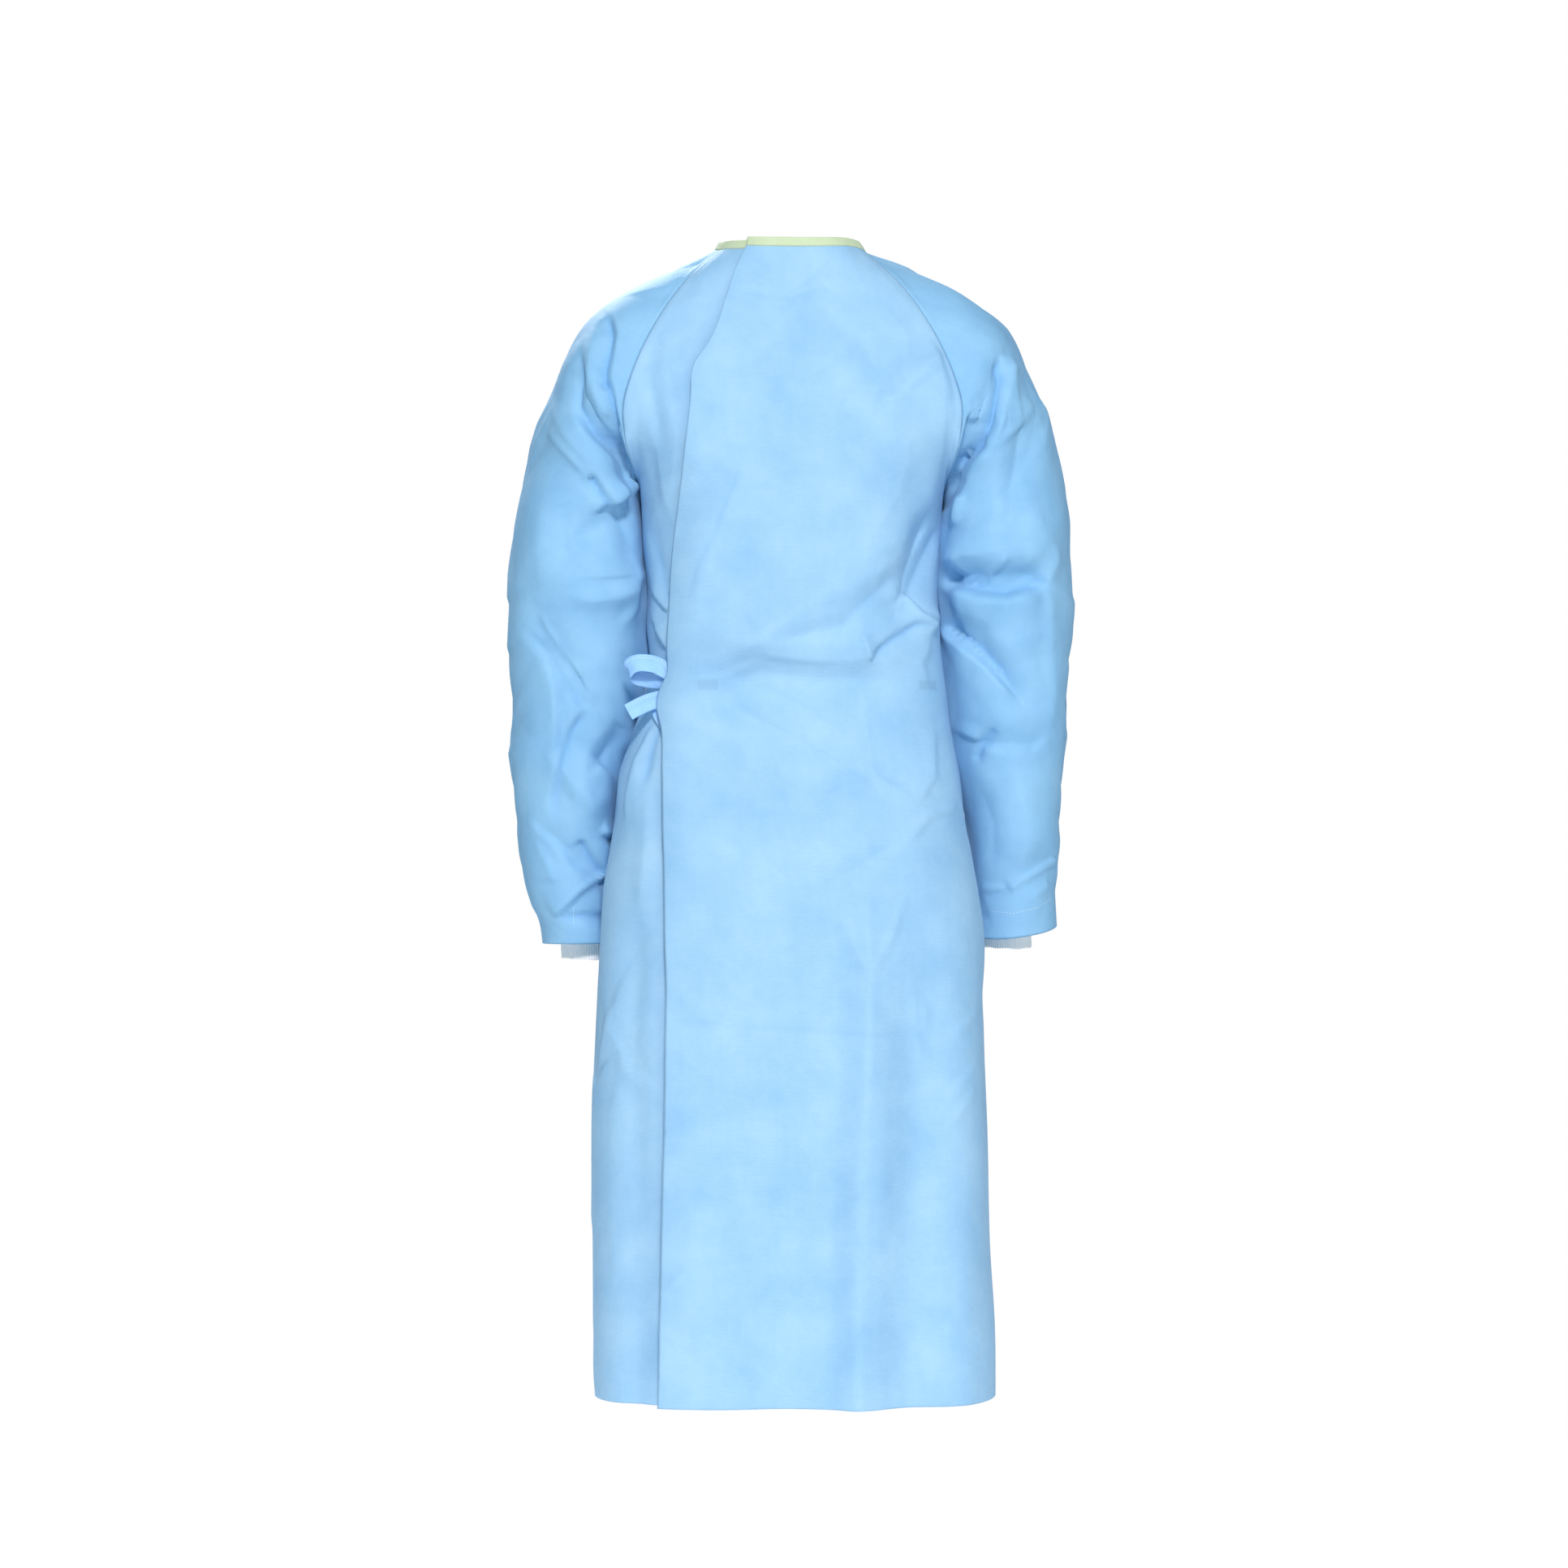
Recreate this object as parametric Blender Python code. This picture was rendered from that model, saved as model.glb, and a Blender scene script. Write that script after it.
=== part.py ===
"""A worn surgical gown as a hollow shell of cut panels, with no wearer in it.

Metres, +Z up. The gown's back, with its wrap-over opening, faces -Y and its front faces +Y, so
+X is the wearer's right. The origin is the middle of the neck opening, level with the points
where the neckline crosses the shoulders.

Every outer point of the cloth is worked out once and shared by the panels that a seam joins.
Each panel then becomes a wall of even thickness on those points, drawn back from its seams.
"""

import math
from collections import namedtuple

import bmesh
import bpy
import numpy as np

CLOTH = 0.0015  # wall of the panels
KNIT = 0.0018  # wall of the ribbed cuffs
SEAM_GAP = 0.00065  # between two panels at a seam, where it runs straight
SEAM_BEND = 0.8  # least cosine between two panels' normals for a seam to give them one between
HEM_Z = -1.153
UNDERARM_Z = -0.250

# How the two back panels lie over each other: the wearer's right one is outside.
FLAP_LIFT = 0.0016
FLAP_LEVELS_AT = (0.05, 0.10)  # x over which the outer panel comes back to its own level
INNER_DROP = 0.0016
INNER_DROP_DEEP = 0.0060
INNER_LEAD = (-0.030, -0.002)  # where the inner panel dips, from the outer one's free edge
INNER_DEEP_RUN = 0.045  # past that edge, how far on it reaches its deepest
INNER_EDGE_X = 0.045  # hidden free edge of the inner back panel
INNER_EDGE_SHARE = 0.62  # and the most that this edge may be of the row's half width

BINDING_HEIGHT = 0.0095
BINDING_THICKNESS = 0.0026
BINDING_CHAMFER = 0.0007
BINDING_GAP = 0.0005  # under the binding, along the neckline
TIE_WIDTH = 0.0170
TIE_THICKNESS = 0.0013
CUFF_GAP = 0.0006  # between the knit and the sleeve's turned-in end
CUFF_SHOWS = 0.0165  # how far the knit reaches below the sleeve
CUFF_HIDDEN = 0.014  # how far it reaches up inside
FLANGE_RISE = 0.009  # how far the sleeve's turned-in end comes up to the knit
FLANGE_ROUND = 0.004  # and its height halfway there
SAG_FROM_Z = -0.62  # the sleeve's end starts to hang lower from here

YOKE_ROWS = 12
BACK_RIGHT_COLUMNS = 19
BACK_LEFT_COLUMNS = 10
FRONT_COLUMNS = 19
SLEEVE_HALF_COLUMNS = 11
CUFF_COLUMNS = 24
CUFF_ROWS = 5
SLEEVE_ROW_STEP = 0.024
DENSE = 120  # points on a row's curve before it is spaced out

MIDDLE_LEAD = 0.42  # handle of a row's curve at the middle of the back or front, of its half
SEAM_LEAD = 0.42  # and at the seam, where it leaves straight outward
SEAM_LEAD_TURNED = 0.24  # what is added to that where it leaves straight backward
HALF_ELLIPSE_LEAD = 4 / 3  # handle that makes one curve out of half an ellipse
YOKE_LEVELS_OUT = 0.45  # a sleeve's row bows down to its seams from the neck to here
FOLD_RUNS_OUT = 0.3  # share of a fold's length, at each end, over which it fades away
FOLD_FACING = (-0.05, 0.30)  # how squarely cloth faces the fold's side as it takes it up
FOLD_BY_SEAM = 0.6  # share of a fold's height that the points beside a seam take

BINDING_SMOOTHINGS = 4  # rounds in which the way that the binding stands is evened out
SAME_POINT = 1e-4  # two points of the neckline closer than this are one
CURVE_STEPS = 40  # points on a tie's curve for each point of its table
SHARP_ANGLE = 50  # degrees between two faces from which their edge is drawn sharp

# Rows of the trunk below the underarm, closer together where the waist is drawn in.
Band = namedtuple("Band", "to_z rows")
BODY_BANDS = [Band(-0.350, 4), Band(-0.480, 8), Band(-0.620, 5), Band(HEM_Z, 8)]

# The trunk's level rings from the underarm down: half widths to the wearer's left and right,
# depths behind and before, and how square each half is (2 is an ellipse).
Ring = namedtuple("Ring", "z left right back front back_square front_square")
BODY_RINGS = [
    Ring(-0.250, 0.1480, 0.1530, 0.128, 0.132, 2.30, 2.30),
    Ring(-0.300, 0.1485, 0.1535, 0.129, 0.135, 2.40, 2.35),
    Ring(-0.340, 0.1440, 0.1500, 0.127, 0.134, 2.55, 2.40),
    Ring(-0.384, 0.1445, 0.1520, 0.121, 0.128, 2.65, 2.40),
    Ring(-0.415, 0.1415, 0.1535, 0.115, 0.122, 2.70, 2.40),
    Ring(-0.446, 0.1455, 0.1565, 0.111, 0.119, 2.70, 2.40),
    Ring(-0.486, 0.1565, 0.1625, 0.113, 0.122, 2.70, 2.40),
    Ring(-0.528, 0.1704, 0.1710, 0.118, 0.127, 2.70, 2.40),
    Ring(-0.585, 0.1778, 0.1775, 0.125, 0.133, 2.75, 2.40),
    Ring(-0.640, 0.1860, 0.1880, 0.129, 0.137, 2.80, 2.40),
    Ring(-0.684, 0.1897, 0.1940, 0.131, 0.139, 2.85, 2.45),
    Ring(-0.765, 0.1942, 0.1945, 0.133, 0.141, 2.85, 2.45),
    Ring(-0.888, 0.1991, 0.1994, 0.135, 0.144, 2.85, 2.50),
    Ring(-1.010, 0.1983, 0.2018, 0.136, 0.146, 2.85, 2.50),
    Ring(-1.109, 0.1967, 0.2067, 0.137, 0.148, 2.85, 2.50),
    Ring(-1.153, 0.1950, 0.2075, 0.137, 0.149, 2.85, 2.50),
]

# The raglan yoke from the neck (down 0) to the underarm (down 1). x is outward on either side. The
# cap is the line over the shoulder. A turn is the way in which cloth leaves a seam: 0 is straight
# outward and 90 straight backward. reach is the handle of the sleeve's curve, of its chord.
Yoke = namedtuple(
    "Yoke",
    "down back_x back_y back_z front_x front_y front_z cap_x cap_z sleeve_turn body_turn reach",
)
YOKE = [
    Yoke(0.0, 0.0700, -0.038, -0.0050, 0.065, 0.044, -0.022, 0.0745, -0.0045, -68, 50, 0.36),
    Yoke(0.2, 0.1040, -0.063, -0.0385, 0.096, 0.077, -0.060, 0.1250, -0.0255, -45, 27, 0.38),
    Yoke(0.4, 0.1345, -0.087, -0.0850, 0.125, 0.101, -0.104, 0.1720, -0.0495, -20, 15, 0.40),
    Yoke(0.6, 0.1575, -0.104, -0.1385, 0.147, 0.114, -0.151, 0.2085, -0.0800, 0, 14, 0.43),
    Yoke(0.8, 0.1645, -0.104, -0.1830, 0.158, 0.110, -0.192, 0.2345, -0.1280, 24, 30, 0.52),
    Yoke(0.9, 0.1600, -0.084, -0.2130, 0.156, 0.086, -0.219, 0.2480, -0.1650, 46, 52, 0.66),
    Yoke(1.0, 0.1480, 0.000, -0.2500, 0.148, 0.000, -0.250, 0.2620, -0.2080, 90, 90, 0.97),
]
BACK_NECK_DEPTH = 0.074
FRONT_NECK_DEPTH = 0.082
FRONT_NECK_DROP = 0.031
BACK_DEEP_AT = 0.75  # down, where the back is first as deep as at the underarm
FRONT_DEEP_AT = 0.8
FRONT_DROP_ENDS_AT = 0.9  # down, where the front's rows no longer dip in the middle
RIGHT_YOKE_WIDTH = 1.034  # the wearer's right shoulder is carried a little wider

# Sleeve rings below the underarm. The inner point is on the sleeve's own seam and the outer point
# is its outline.
Sleeve = namedtuple("Sleeve", "inner_x inner_z outer_x outer_z middle_y back front")
LEFT_SLEEVE = [
    Sleeve(0.1480, -0.250, 0.2620, -0.208, 0.000, 0.088, 0.082),
    Sleeve(0.1500, -0.300, 0.2775, -0.272, 0.001, 0.087, 0.086),
    Sleeve(0.1465, -0.340, 0.2825, -0.320, 0.004, 0.086, 0.086),
    Sleeve(0.1465, -0.384, 0.2835, -0.370, 0.008, 0.084, 0.085),
    Sleeve(0.1445, -0.415, 0.2835, -0.404, 0.012, 0.082, 0.084),
    Sleeve(0.1480, -0.446, 0.2835, -0.438, 0.018, 0.080, 0.083),
    Sleeve(0.1585, -0.486, 0.2825, -0.480, 0.026, 0.078, 0.082),
    Sleeve(0.1700, -0.528, 0.2825, -0.524, 0.036, 0.075, 0.079),
    Sleeve(0.1755, -0.585, 0.2790, -0.585, 0.052, 0.070, 0.074),
    Sleeve(0.1805, -0.640, 0.2695, -0.640, 0.066, 0.062, 0.067),
    Sleeve(0.1815, -0.682, 0.2545, -0.684, 0.076, 0.056, 0.060),
    Sleeve(0.1815, -0.702, 0.2527, -0.703, 0.078, 0.054, 0.058),
]
RIGHT_SLEEVE = [
    Sleeve(0.1530, -0.250, 0.2710, -0.208, 0.000, 0.088, 0.082),
    Sleeve(0.1552, -0.300, 0.2830, -0.272, 0.001, 0.087, 0.086),
    Sleeve(0.1525, -0.340, 0.2857, -0.320, 0.004, 0.086, 0.086),
    Sleeve(0.1545, -0.384, 0.2852, -0.370, 0.008, 0.084, 0.085),
    Sleeve(0.1562, -0.415, 0.2845, -0.404, 0.012, 0.082, 0.084),
    Sleeve(0.1595, -0.446, 0.2830, -0.438, 0.018, 0.080, 0.083),
    Sleeve(0.1648, -0.486, 0.2815, -0.480, 0.026, 0.078, 0.081),
    Sleeve(0.1735, -0.528, 0.2800, -0.524, 0.035, 0.075, 0.078),
    Sleeve(0.1800, -0.585, 0.2755, -0.585, 0.049, 0.070, 0.074),
    Sleeve(0.1875, -0.640, 0.2715, -0.634, 0.063, 0.063, 0.067),
    Sleeve(0.1910, -0.680, 0.2718, -0.672, 0.072, 0.058, 0.062),
    Sleeve(0.1920, -0.694, 0.2720, -0.684, 0.074, 0.057, 0.060),
]
SLEEVE_END_SAG = {"left": 0.0, "right": 0.007}  # how far the near side of the end hangs lower

# The knit cuffs: middle and half axes.
Cuff = namedtuple("Cuff", "x y half_x half_y")
CUFFS = {"left": Cuff(0.2090, 0.078, 0.0255, 0.031), "right": Cuff(0.2220, 0.074, 0.0255, 0.031)}

# The free edge of the outer back panel.
Edge = namedtuple("Edge", "z x")
FLAP_EDGE = [
    Edge(0.000, -0.0390),
    Edge(-0.030, -0.0535),
    Edge(-0.061, -0.0639),
    Edge(-0.087, -0.0718),
    Edge(-0.109, -0.0822),
    Edge(-0.122, -0.0918),
    Edge(-0.165, -0.0974),
    Edge(-0.235, -0.1061),
    Edge(-0.299, -0.1133),
    Edge(-0.340, -0.1173),
    Edge(-0.404, -0.1213),
    Edge(-0.430, -0.1208),
    Edge(-0.453, -0.1305),
    Edge(-0.464, -0.1313),
    Edge(-0.484, -0.1272),
    Edge(-0.522, -0.1256),
    Edge(-0.650, -0.1229),
    Edge(-0.770, -0.1213),
    Edge(-0.890, -0.1229),
    Edge(-1.000, -0.1253),
    Edge(-1.080, -0.1277),
    Edge(-1.153, -0.1293),
]

# How far the outer panel stands off the inner one along its free edge, and over what width.
Stand = namedtuple("Stand", "z lift")
FLAP_STAND = [
    Stand(0.000, 0.0),
    Stand(-0.030, 0.0010),
    Stand(-0.120, 0.0060),
    Stand(-0.300, 0.0090),
    Stand(-0.400, 0.0120),
    Stand(-0.460, 0.0120),
    Stand(-0.560, 0.0080),
    Stand(-0.800, 0.0090),
    Stand(-1.153, 0.0110),
]
FLAP_STAND_WIDTH = 0.075

# The tie strips: middle points from the knot outward, and the way that the strip's width points there.
Strip = namedtuple("Strip", "x y z wide_x wide_y wide_z")
TIES = {
    "tie_loop": [
        Strip(-0.1180, -0.0853, -0.4350, 0.10, -0.1, 1.0),
        Strip(-0.1295, -0.0850, -0.4235, -0.10, 0.0, 1.0),
        Strip(-0.1433, -0.0885, -0.4200, -0.20, 0.0, 1.0),
        Strip(-0.1545, -0.0865, -0.4212, -0.40, 0.1, 1.0),
        Strip(-0.1600, -0.0790, -0.4270, -0.50, 0.2, 0.9),
        Strip(-0.1530, -0.0715, -0.4325, -0.35, 0.1, 1.0),
        Strip(-0.1400, -0.0705, -0.4360, 0.00, 0.0, 1.0),
        Strip(-0.1290, -0.0745, -0.4370, 0.00, 0.0, 1.0),
        Strip(-0.1192, -0.0820, -0.4385, 0.00, 0.0, 1.0),
    ],
    "tie_tail_upper": [
        Strip(-0.1184, -0.0880, -0.4520, 0.00, -0.1, 1.0),
        Strip(-0.1290, -0.0796, -0.4558, -0.10, 0.0, 1.0),
        Strip(-0.1400, -0.0800, -0.4590, -0.35, 0.0, 0.9),
        Strip(-0.1500, -0.0830, -0.4635, -0.48, 0.0, 0.88),
        Strip(-0.1600, -0.0850, -0.4690, -0.48, 0.0, 0.88),
    ],
    "tie_tail_lower": [
        Strip(-0.1115, -0.0880, -0.4525, 0.85, -0.55, 0.0),
        Strip(-0.1180, -0.0845, -0.4625, 0.80, -0.65, -0.3),
        Strip(-0.1270, -0.0783, -0.4695, 0.65, -0.60, -0.6),
        Strip(-0.1345, -0.0752, -0.4745, 0.45, -0.50, -0.8),
    ],
}
TIE_SECTIONS = {"tie_loop": 24, "tie_tail_upper": 10, "tie_tail_lower": 8}
KNOT_X, KNOT_Z = -0.109, -0.441
KNOT_GAP = 0.00045  # between the knot and the panel behind it
KNOT_HALF = (0.0075, 0.0050, 0.0095)  # along the waist, off the panel, upright

# The largest folds: a line from one end to the other as seen from behind or before, its height
# (less than 0 for a valley) and how far it spreads.
Fold = namedtuple("Fold", "panel side x0 z0 x1 z1 height spread")
FOLDS = [
    Fold("back", "back", -0.105, -0.395, 0.145, -0.405, 0.0120, 0.017),
    Fold("back", "back", -0.115, -0.428, 0.150, -0.440, -0.0070, 0.016),
    Fold("back", "back", -0.120, -0.440, 0.140, -0.300, 0.0070, 0.015),
    Fold("back", "back", -0.110, -0.435, 0.130, -0.560, -0.0080, 0.020),
    Fold("back", "back", 0.160, -0.255, 0.095, -0.390, -0.0150, 0.018),
    Fold("back", "back", 0.090, -0.342, 0.165, -0.386, 0.0080, 0.015),
    Fold("back", "back", -0.030, -0.190, -0.110, -0.385, 0.0060, 0.018),
    Fold("back", "back", 0.165, -0.115, 0.075, -0.185, 0.0070, 0.020),
    Fold("back", "back", 0.085, -0.560, 0.060, -1.400, 0.0070, 0.022),
    Fold("back", "back", 0.130, -0.640, 0.112, -1.400, -0.0080, 0.026),
    Fold("back", "back", 0.172, -0.600, 0.164, -1.400, 0.0070, 0.024),
    Fold("back", "back", 0.020, -0.760, -0.020, -1.400, -0.0060, 0.034),
    Fold("back", "back", -0.095, -0.820, -0.050, -1.400, 0.0060, 0.030),
    Fold("back", "back", -0.158, -0.500, -0.156, -1.400, -0.0080, 0.016),
    Fold("front", "front", -0.080, -0.480, -0.100, -1.400, -0.0120, 0.026),
    Fold("front", "front", -0.025, -0.440, -0.036, -1.400, 0.0110, 0.030),
    Fold("front", "front", 0.035, -0.480, 0.055, -1.400, -0.0110, 0.026),
    Fold("front", "front", 0.095, -0.460, 0.125, -1.400, 0.0100, 0.028),
    Fold("front", "front", -0.145, -0.500, -0.163, -1.400, 0.0070, 0.024),
    Fold("front", "front", -0.140, -0.405, 0.110, -0.378, 0.0100, 0.020),
    Fold("front", "front", -0.110, -0.450, 0.145, -0.424, -0.0080, 0.018),
    Fold("front", "front", -0.150, -0.190, -0.005, -0.360, 0.0090, 0.020),
    Fold("front", "front", 0.150, -0.180, 0.020, -0.350, 0.0080, 0.020),
    Fold("front", "front", -0.150, -0.420, 0.020, -0.580, 0.0060, 0.020),
    Fold("sleeve_left", "back", -0.225, -0.120, -0.135, -0.270, -0.0130, 0.016),
    Fold("sleeve_left", "back", -0.250, -0.150, -0.140, -0.310, 0.0070, 0.019),
    Fold("sleeve_left", "back", -0.220, -0.300, -0.130, -0.255, -0.0090, 0.014),
    Fold("sleeve_left", "back", -0.260, -0.340, -0.100, -0.328, 0.0100, 0.018),
    Fold("sleeve_left", "back", -0.262, -0.350, -0.180, -0.480, -0.0100, 0.016),
    Fold("sleeve_left", "back", -0.250, -0.505, -0.180, -0.575, 0.0070, 0.018),
    Fold("sleeve_left", "back", -0.262, -0.575, -0.175, -0.655, -0.0090, 0.017),
    Fold("sleeve_right", "back", 0.135, -0.290, 0.228, -0.085, -0.0130, 0.017),
    Fold("sleeve_right", "back", 0.175, -0.235, 0.270, -0.150, 0.0050, 0.019),
    Fold("sleeve_right", "back", 0.110, -0.334, 0.275, -0.338, -0.0130, 0.015),
    Fold("sleeve_right", "back", 0.130, -0.322, 0.275, -0.295, 0.0090, 0.017),
    Fold("sleeve_right", "back", 0.135, -0.360, 0.255, -0.480, -0.0100, 0.016),
    Fold("sleeve_right", "back", 0.160, -0.500, 0.280, -0.500, -0.0070, 0.017),
    Fold("sleeve_right", "back", 0.185, -0.665, 0.290, -0.600, -0.0080, 0.015),
    Fold("sleeve_left", "front", -0.270, -0.345, -0.140, -0.395, -0.0130, 0.017),
    Fold("sleeve_left", "front", -0.265, -0.432, -0.145, -0.398, 0.0090, 0.018),
    Fold("sleeve_left", "front", -0.255, -0.150, -0.145, -0.275, -0.0110, 0.017),
    Fold("sleeve_left", "front", -0.270, -0.508, -0.170, -0.567, -0.0090, 0.018),
    Fold("sleeve_right", "front", 0.270, -0.350, 0.140, -0.388, -0.0130, 0.017),
    Fold("sleeve_right", "front", 0.265, -0.436, 0.148, -0.400, 0.0090, 0.018),
    Fold("sleeve_right", "front", 0.255, -0.155, 0.145, -0.270, -0.0110, 0.017),
    Fold("sleeve_right", "front", 0.275, -0.512, 0.175, -0.562, -0.0090, 0.018),
]

COLOURS = {  # base colour and roughness
    "cloth": ((0.36, 0.64, 0.93), 0.75),
    "sleeve": ((0.34, 0.62, 0.92), 0.78),
    "knit": ((0.90, 0.90, 0.92), 0.90),
    "binding": ((0.86, 0.90, 0.66), 0.80),
    "tie": ((0.42, 0.70, 0.95), 0.72),
}


def smoothstep(low, high, value):
    share = np.clip((np.asarray(value, float) - low) / (high - low), 0.0, 1.0)
    return share * share * (3.0 - 2.0 * share)


def unit(vectors):
    vectors = np.asarray(vectors, float)
    return vectors / np.maximum(np.linalg.norm(vectors, axis=-1, keepdims=True), 1e-12)


def along_table(rows, key, value):
    """A smooth curve through a table's rows, read where the column key has that value."""
    table = np.array(rows, float)
    at = table[:, rows[0]._fields.index(key)]
    if at[0] > at[-1]:
        table, at = table[::-1], at[::-1]
    value = min(max(value, at[0]), at[-1])
    slopes = np.gradient(table, at, axis=0)
    i = min(int(np.searchsorted(at, value, side="right")) - 1, len(at) - 2)
    span = at[i + 1] - at[i]
    s = (value - at[i]) / span
    h00, h10 = 2 * s**3 - 3 * s**2 + 1, s**3 - 2 * s**2 + s
    h01, h11 = -2 * s**3 + 3 * s**2, s**3 - s**2
    read = h00 * table[i] + h10 * span * slopes[i] + h01 * table[i + 1] + h11 * span * slopes[i + 1]
    return type(rows[0])(*read)


def bezier(start, leave, arrive, end, count):
    s = np.linspace(0.0, 1.0, count)[:, None]
    return (1 - s) ** 3 * start + 3 * s * (1 - s) ** 2 * leave + 3 * s**2 * (1 - s) * arrive + s**3 * end


def evenly(line, count):
    """The line again, with that many points spaced evenly along it."""
    steps = np.linalg.norm(np.diff(line, axis=0), axis=1)
    along = np.concatenate([[0.0], np.cumsum(steps)])
    at = np.linspace(0.0, along[-1], count)
    return np.stack([np.interp(at, along, line[:, k]) for k in range(3)], axis=1)


def between_x(line, low, high):
    """The stretch of a back row, which runs from -X to +X, between two values of x."""
    index = np.arange(len(line))
    first, last = (float(np.interp(x, line[:, 0], index)) for x in (low, high))
    inside = line[math.ceil(first + 1e-9) : math.floor(last - 1e-9) + 1]
    ends = [np.array([np.interp(i, index, line[:, k]) for k in range(3)]) for i in (first, last)]
    return np.vstack([ends[0], inside, ends[1]])


def yoke_side(down, side):
    """Back seam point, front seam point and cap point of the yoke on one side."""
    row = along_table(YOKE, "down", down)
    out = -1.0 if side == "left" else RIGHT_YOKE_WIDTH
    return (
        row,
        np.array([out * row.back_x, row.back_y, row.back_z]),
        np.array([out * row.front_x, row.front_y, row.front_z]),
        np.array([out * row.cap_x, 0.0, row.cap_z]),
    )


def yoke_back_row(down):
    """The row across the back, from the left raglan seam to the right one."""
    row, left, _, _ = yoke_side(down, "left")
    _, right, _, _ = yoke_side(down, "right")
    ring = BODY_RINGS[0]
    share = smoothstep(0.0, BACK_DEEP_AT, down)
    middle = np.array([0.0, -(BACK_NECK_DEPTH + (ring.back - BACK_NECK_DEPTH) * share), left[2]])
    return across(left, middle, right, math.radians(row.body_turn), -1.0)


def yoke_front_row(down):
    row, _, left, _ = yoke_side(down, "left")
    _, _, right, _ = yoke_side(down, "right")
    ring = BODY_RINGS[0]
    share = smoothstep(0.0, FRONT_DEEP_AT, down)
    depth = FRONT_NECK_DEPTH + (ring.front - FRONT_NECK_DEPTH) * share
    drop = FRONT_NECK_DROP * (1.0 - smoothstep(0.0, FRONT_DROP_ENDS_AT, down))
    middle = np.array([0.0, depth, left[2]])
    line = across(left, middle, right, math.radians(row.body_turn), 1.0)
    side = np.where(line[:, 0] < 0, left[0], right[0])
    line[:, 2] -= drop * (1.0 - (line[:, 0] / side) ** 2)
    return line


def across(left, middle, right, turn, way):
    """A row from left to right through the middle. way is -1 over the back and 1 over the front."""
    leave = np.array([math.cos(turn), way * math.sin(turn), 0.0])
    come = np.array([-math.cos(turn), way * math.sin(turn), 0.0])
    half_left, half_right = np.linalg.norm(middle - left), np.linalg.norm(right - middle)
    flat = np.array([MIDDLE_LEAD, 0.0, 0.0])
    lead = SEAM_LEAD + SEAM_LEAD_TURNED * math.sin(turn) ** 2
    first = bezier(left, left + leave * half_left * lead, middle - flat * half_left, middle, DENSE)
    second = bezier(middle, middle + flat * half_right, right + come * half_right * lead, right, DENSE)
    return np.vstack([first, second[1:]])


def body_row(z, way):
    """Half a ring of the trunk at that height, from the left side to the right side."""
    ring = along_table(BODY_RINGS, "z", z)
    depth, square = (ring.back, ring.back_square) if way < 0 else (ring.front, ring.front_square)
    turn = np.linspace(-math.pi / 2, math.pi / 2, 2 * DENSE)
    across_it = np.sign(np.sin(turn)) * np.abs(np.sin(turn)) ** (2 / square)
    x = across_it * np.where(turn < 0, ring.left, ring.right)
    y = way * depth * np.maximum(np.cos(turn), 0.0) ** (2 / square)
    return np.stack([x, y, np.full(len(turn), z)], axis=1)


def cap_row(down, side):
    """The sleeve's row over the shoulder, from the back seam to the front seam."""
    row, back, front, cap = yoke_side(down, side)
    turn = math.radians(row.sleeve_turn)
    halves = []
    for seam, way in ((back, -1.0), (front, 1.0)):
        outward = cap - seam
        chord = np.linalg.norm(outward)
        outward[1] = 0.0
        leave = unit(outward) * math.cos(turn) + np.array([0.0, way, 0.0]) * math.sin(turn)
        top = np.array([0.0, way, 0.0])
        line = bezier(seam, seam + leave * chord * row.reach, cap + top * chord * row.reach, cap, DENSE)
        bowed = cap[2] + (seam[2] - cap[2]) * np.linspace(1.0, 0.0, DENSE) ** 2
        near_neck = 1.0 - smoothstep(0.0, YOKE_LEVELS_OUT, down)
        line[:, 2] += (bowed - line[:, 2]) * near_neck
        halves.append(line)
    return halves[0], halves[1][::-1]


def sleeve_ring(row, out, sag=0.0):
    """A whole ring of a sleeve, from its own seam round the back and the front to the seam again."""
    inner = np.array([out * row.inner_x, row.middle_y, row.inner_z])
    outer = np.array([out * row.outer_x, row.middle_y, row.outer_z])
    back = np.array([0.0, -row.back, -sag]) * HALF_ELLIPSE_LEAD
    front = np.array([0.0, row.front, 0.0]) * HALF_ELLIPSE_LEAD
    behind = bezier(inner, inner + back, outer + back, outer, DENSE)
    before = bezier(outer, outer + front, inner + front, inner, DENSE)
    return behind, before


def half_rows(behind, before):
    """The points inside a sleeve's row, spaced evenly over its back half and then its front one."""
    back, front = evenly(behind, SLEEVE_HALF_COLUMNS), evenly(before, SLEEVE_HALF_COLUMNS)
    return list(back[1:]) + list(front[1:-1])


def body_levels():
    levels = [UNDERARM_Z]
    for band in BODY_BANDS:
        levels += list(np.linspace(levels[-1], band.to_z, band.rows + 1)[1:])
    return levels[1:]


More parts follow.
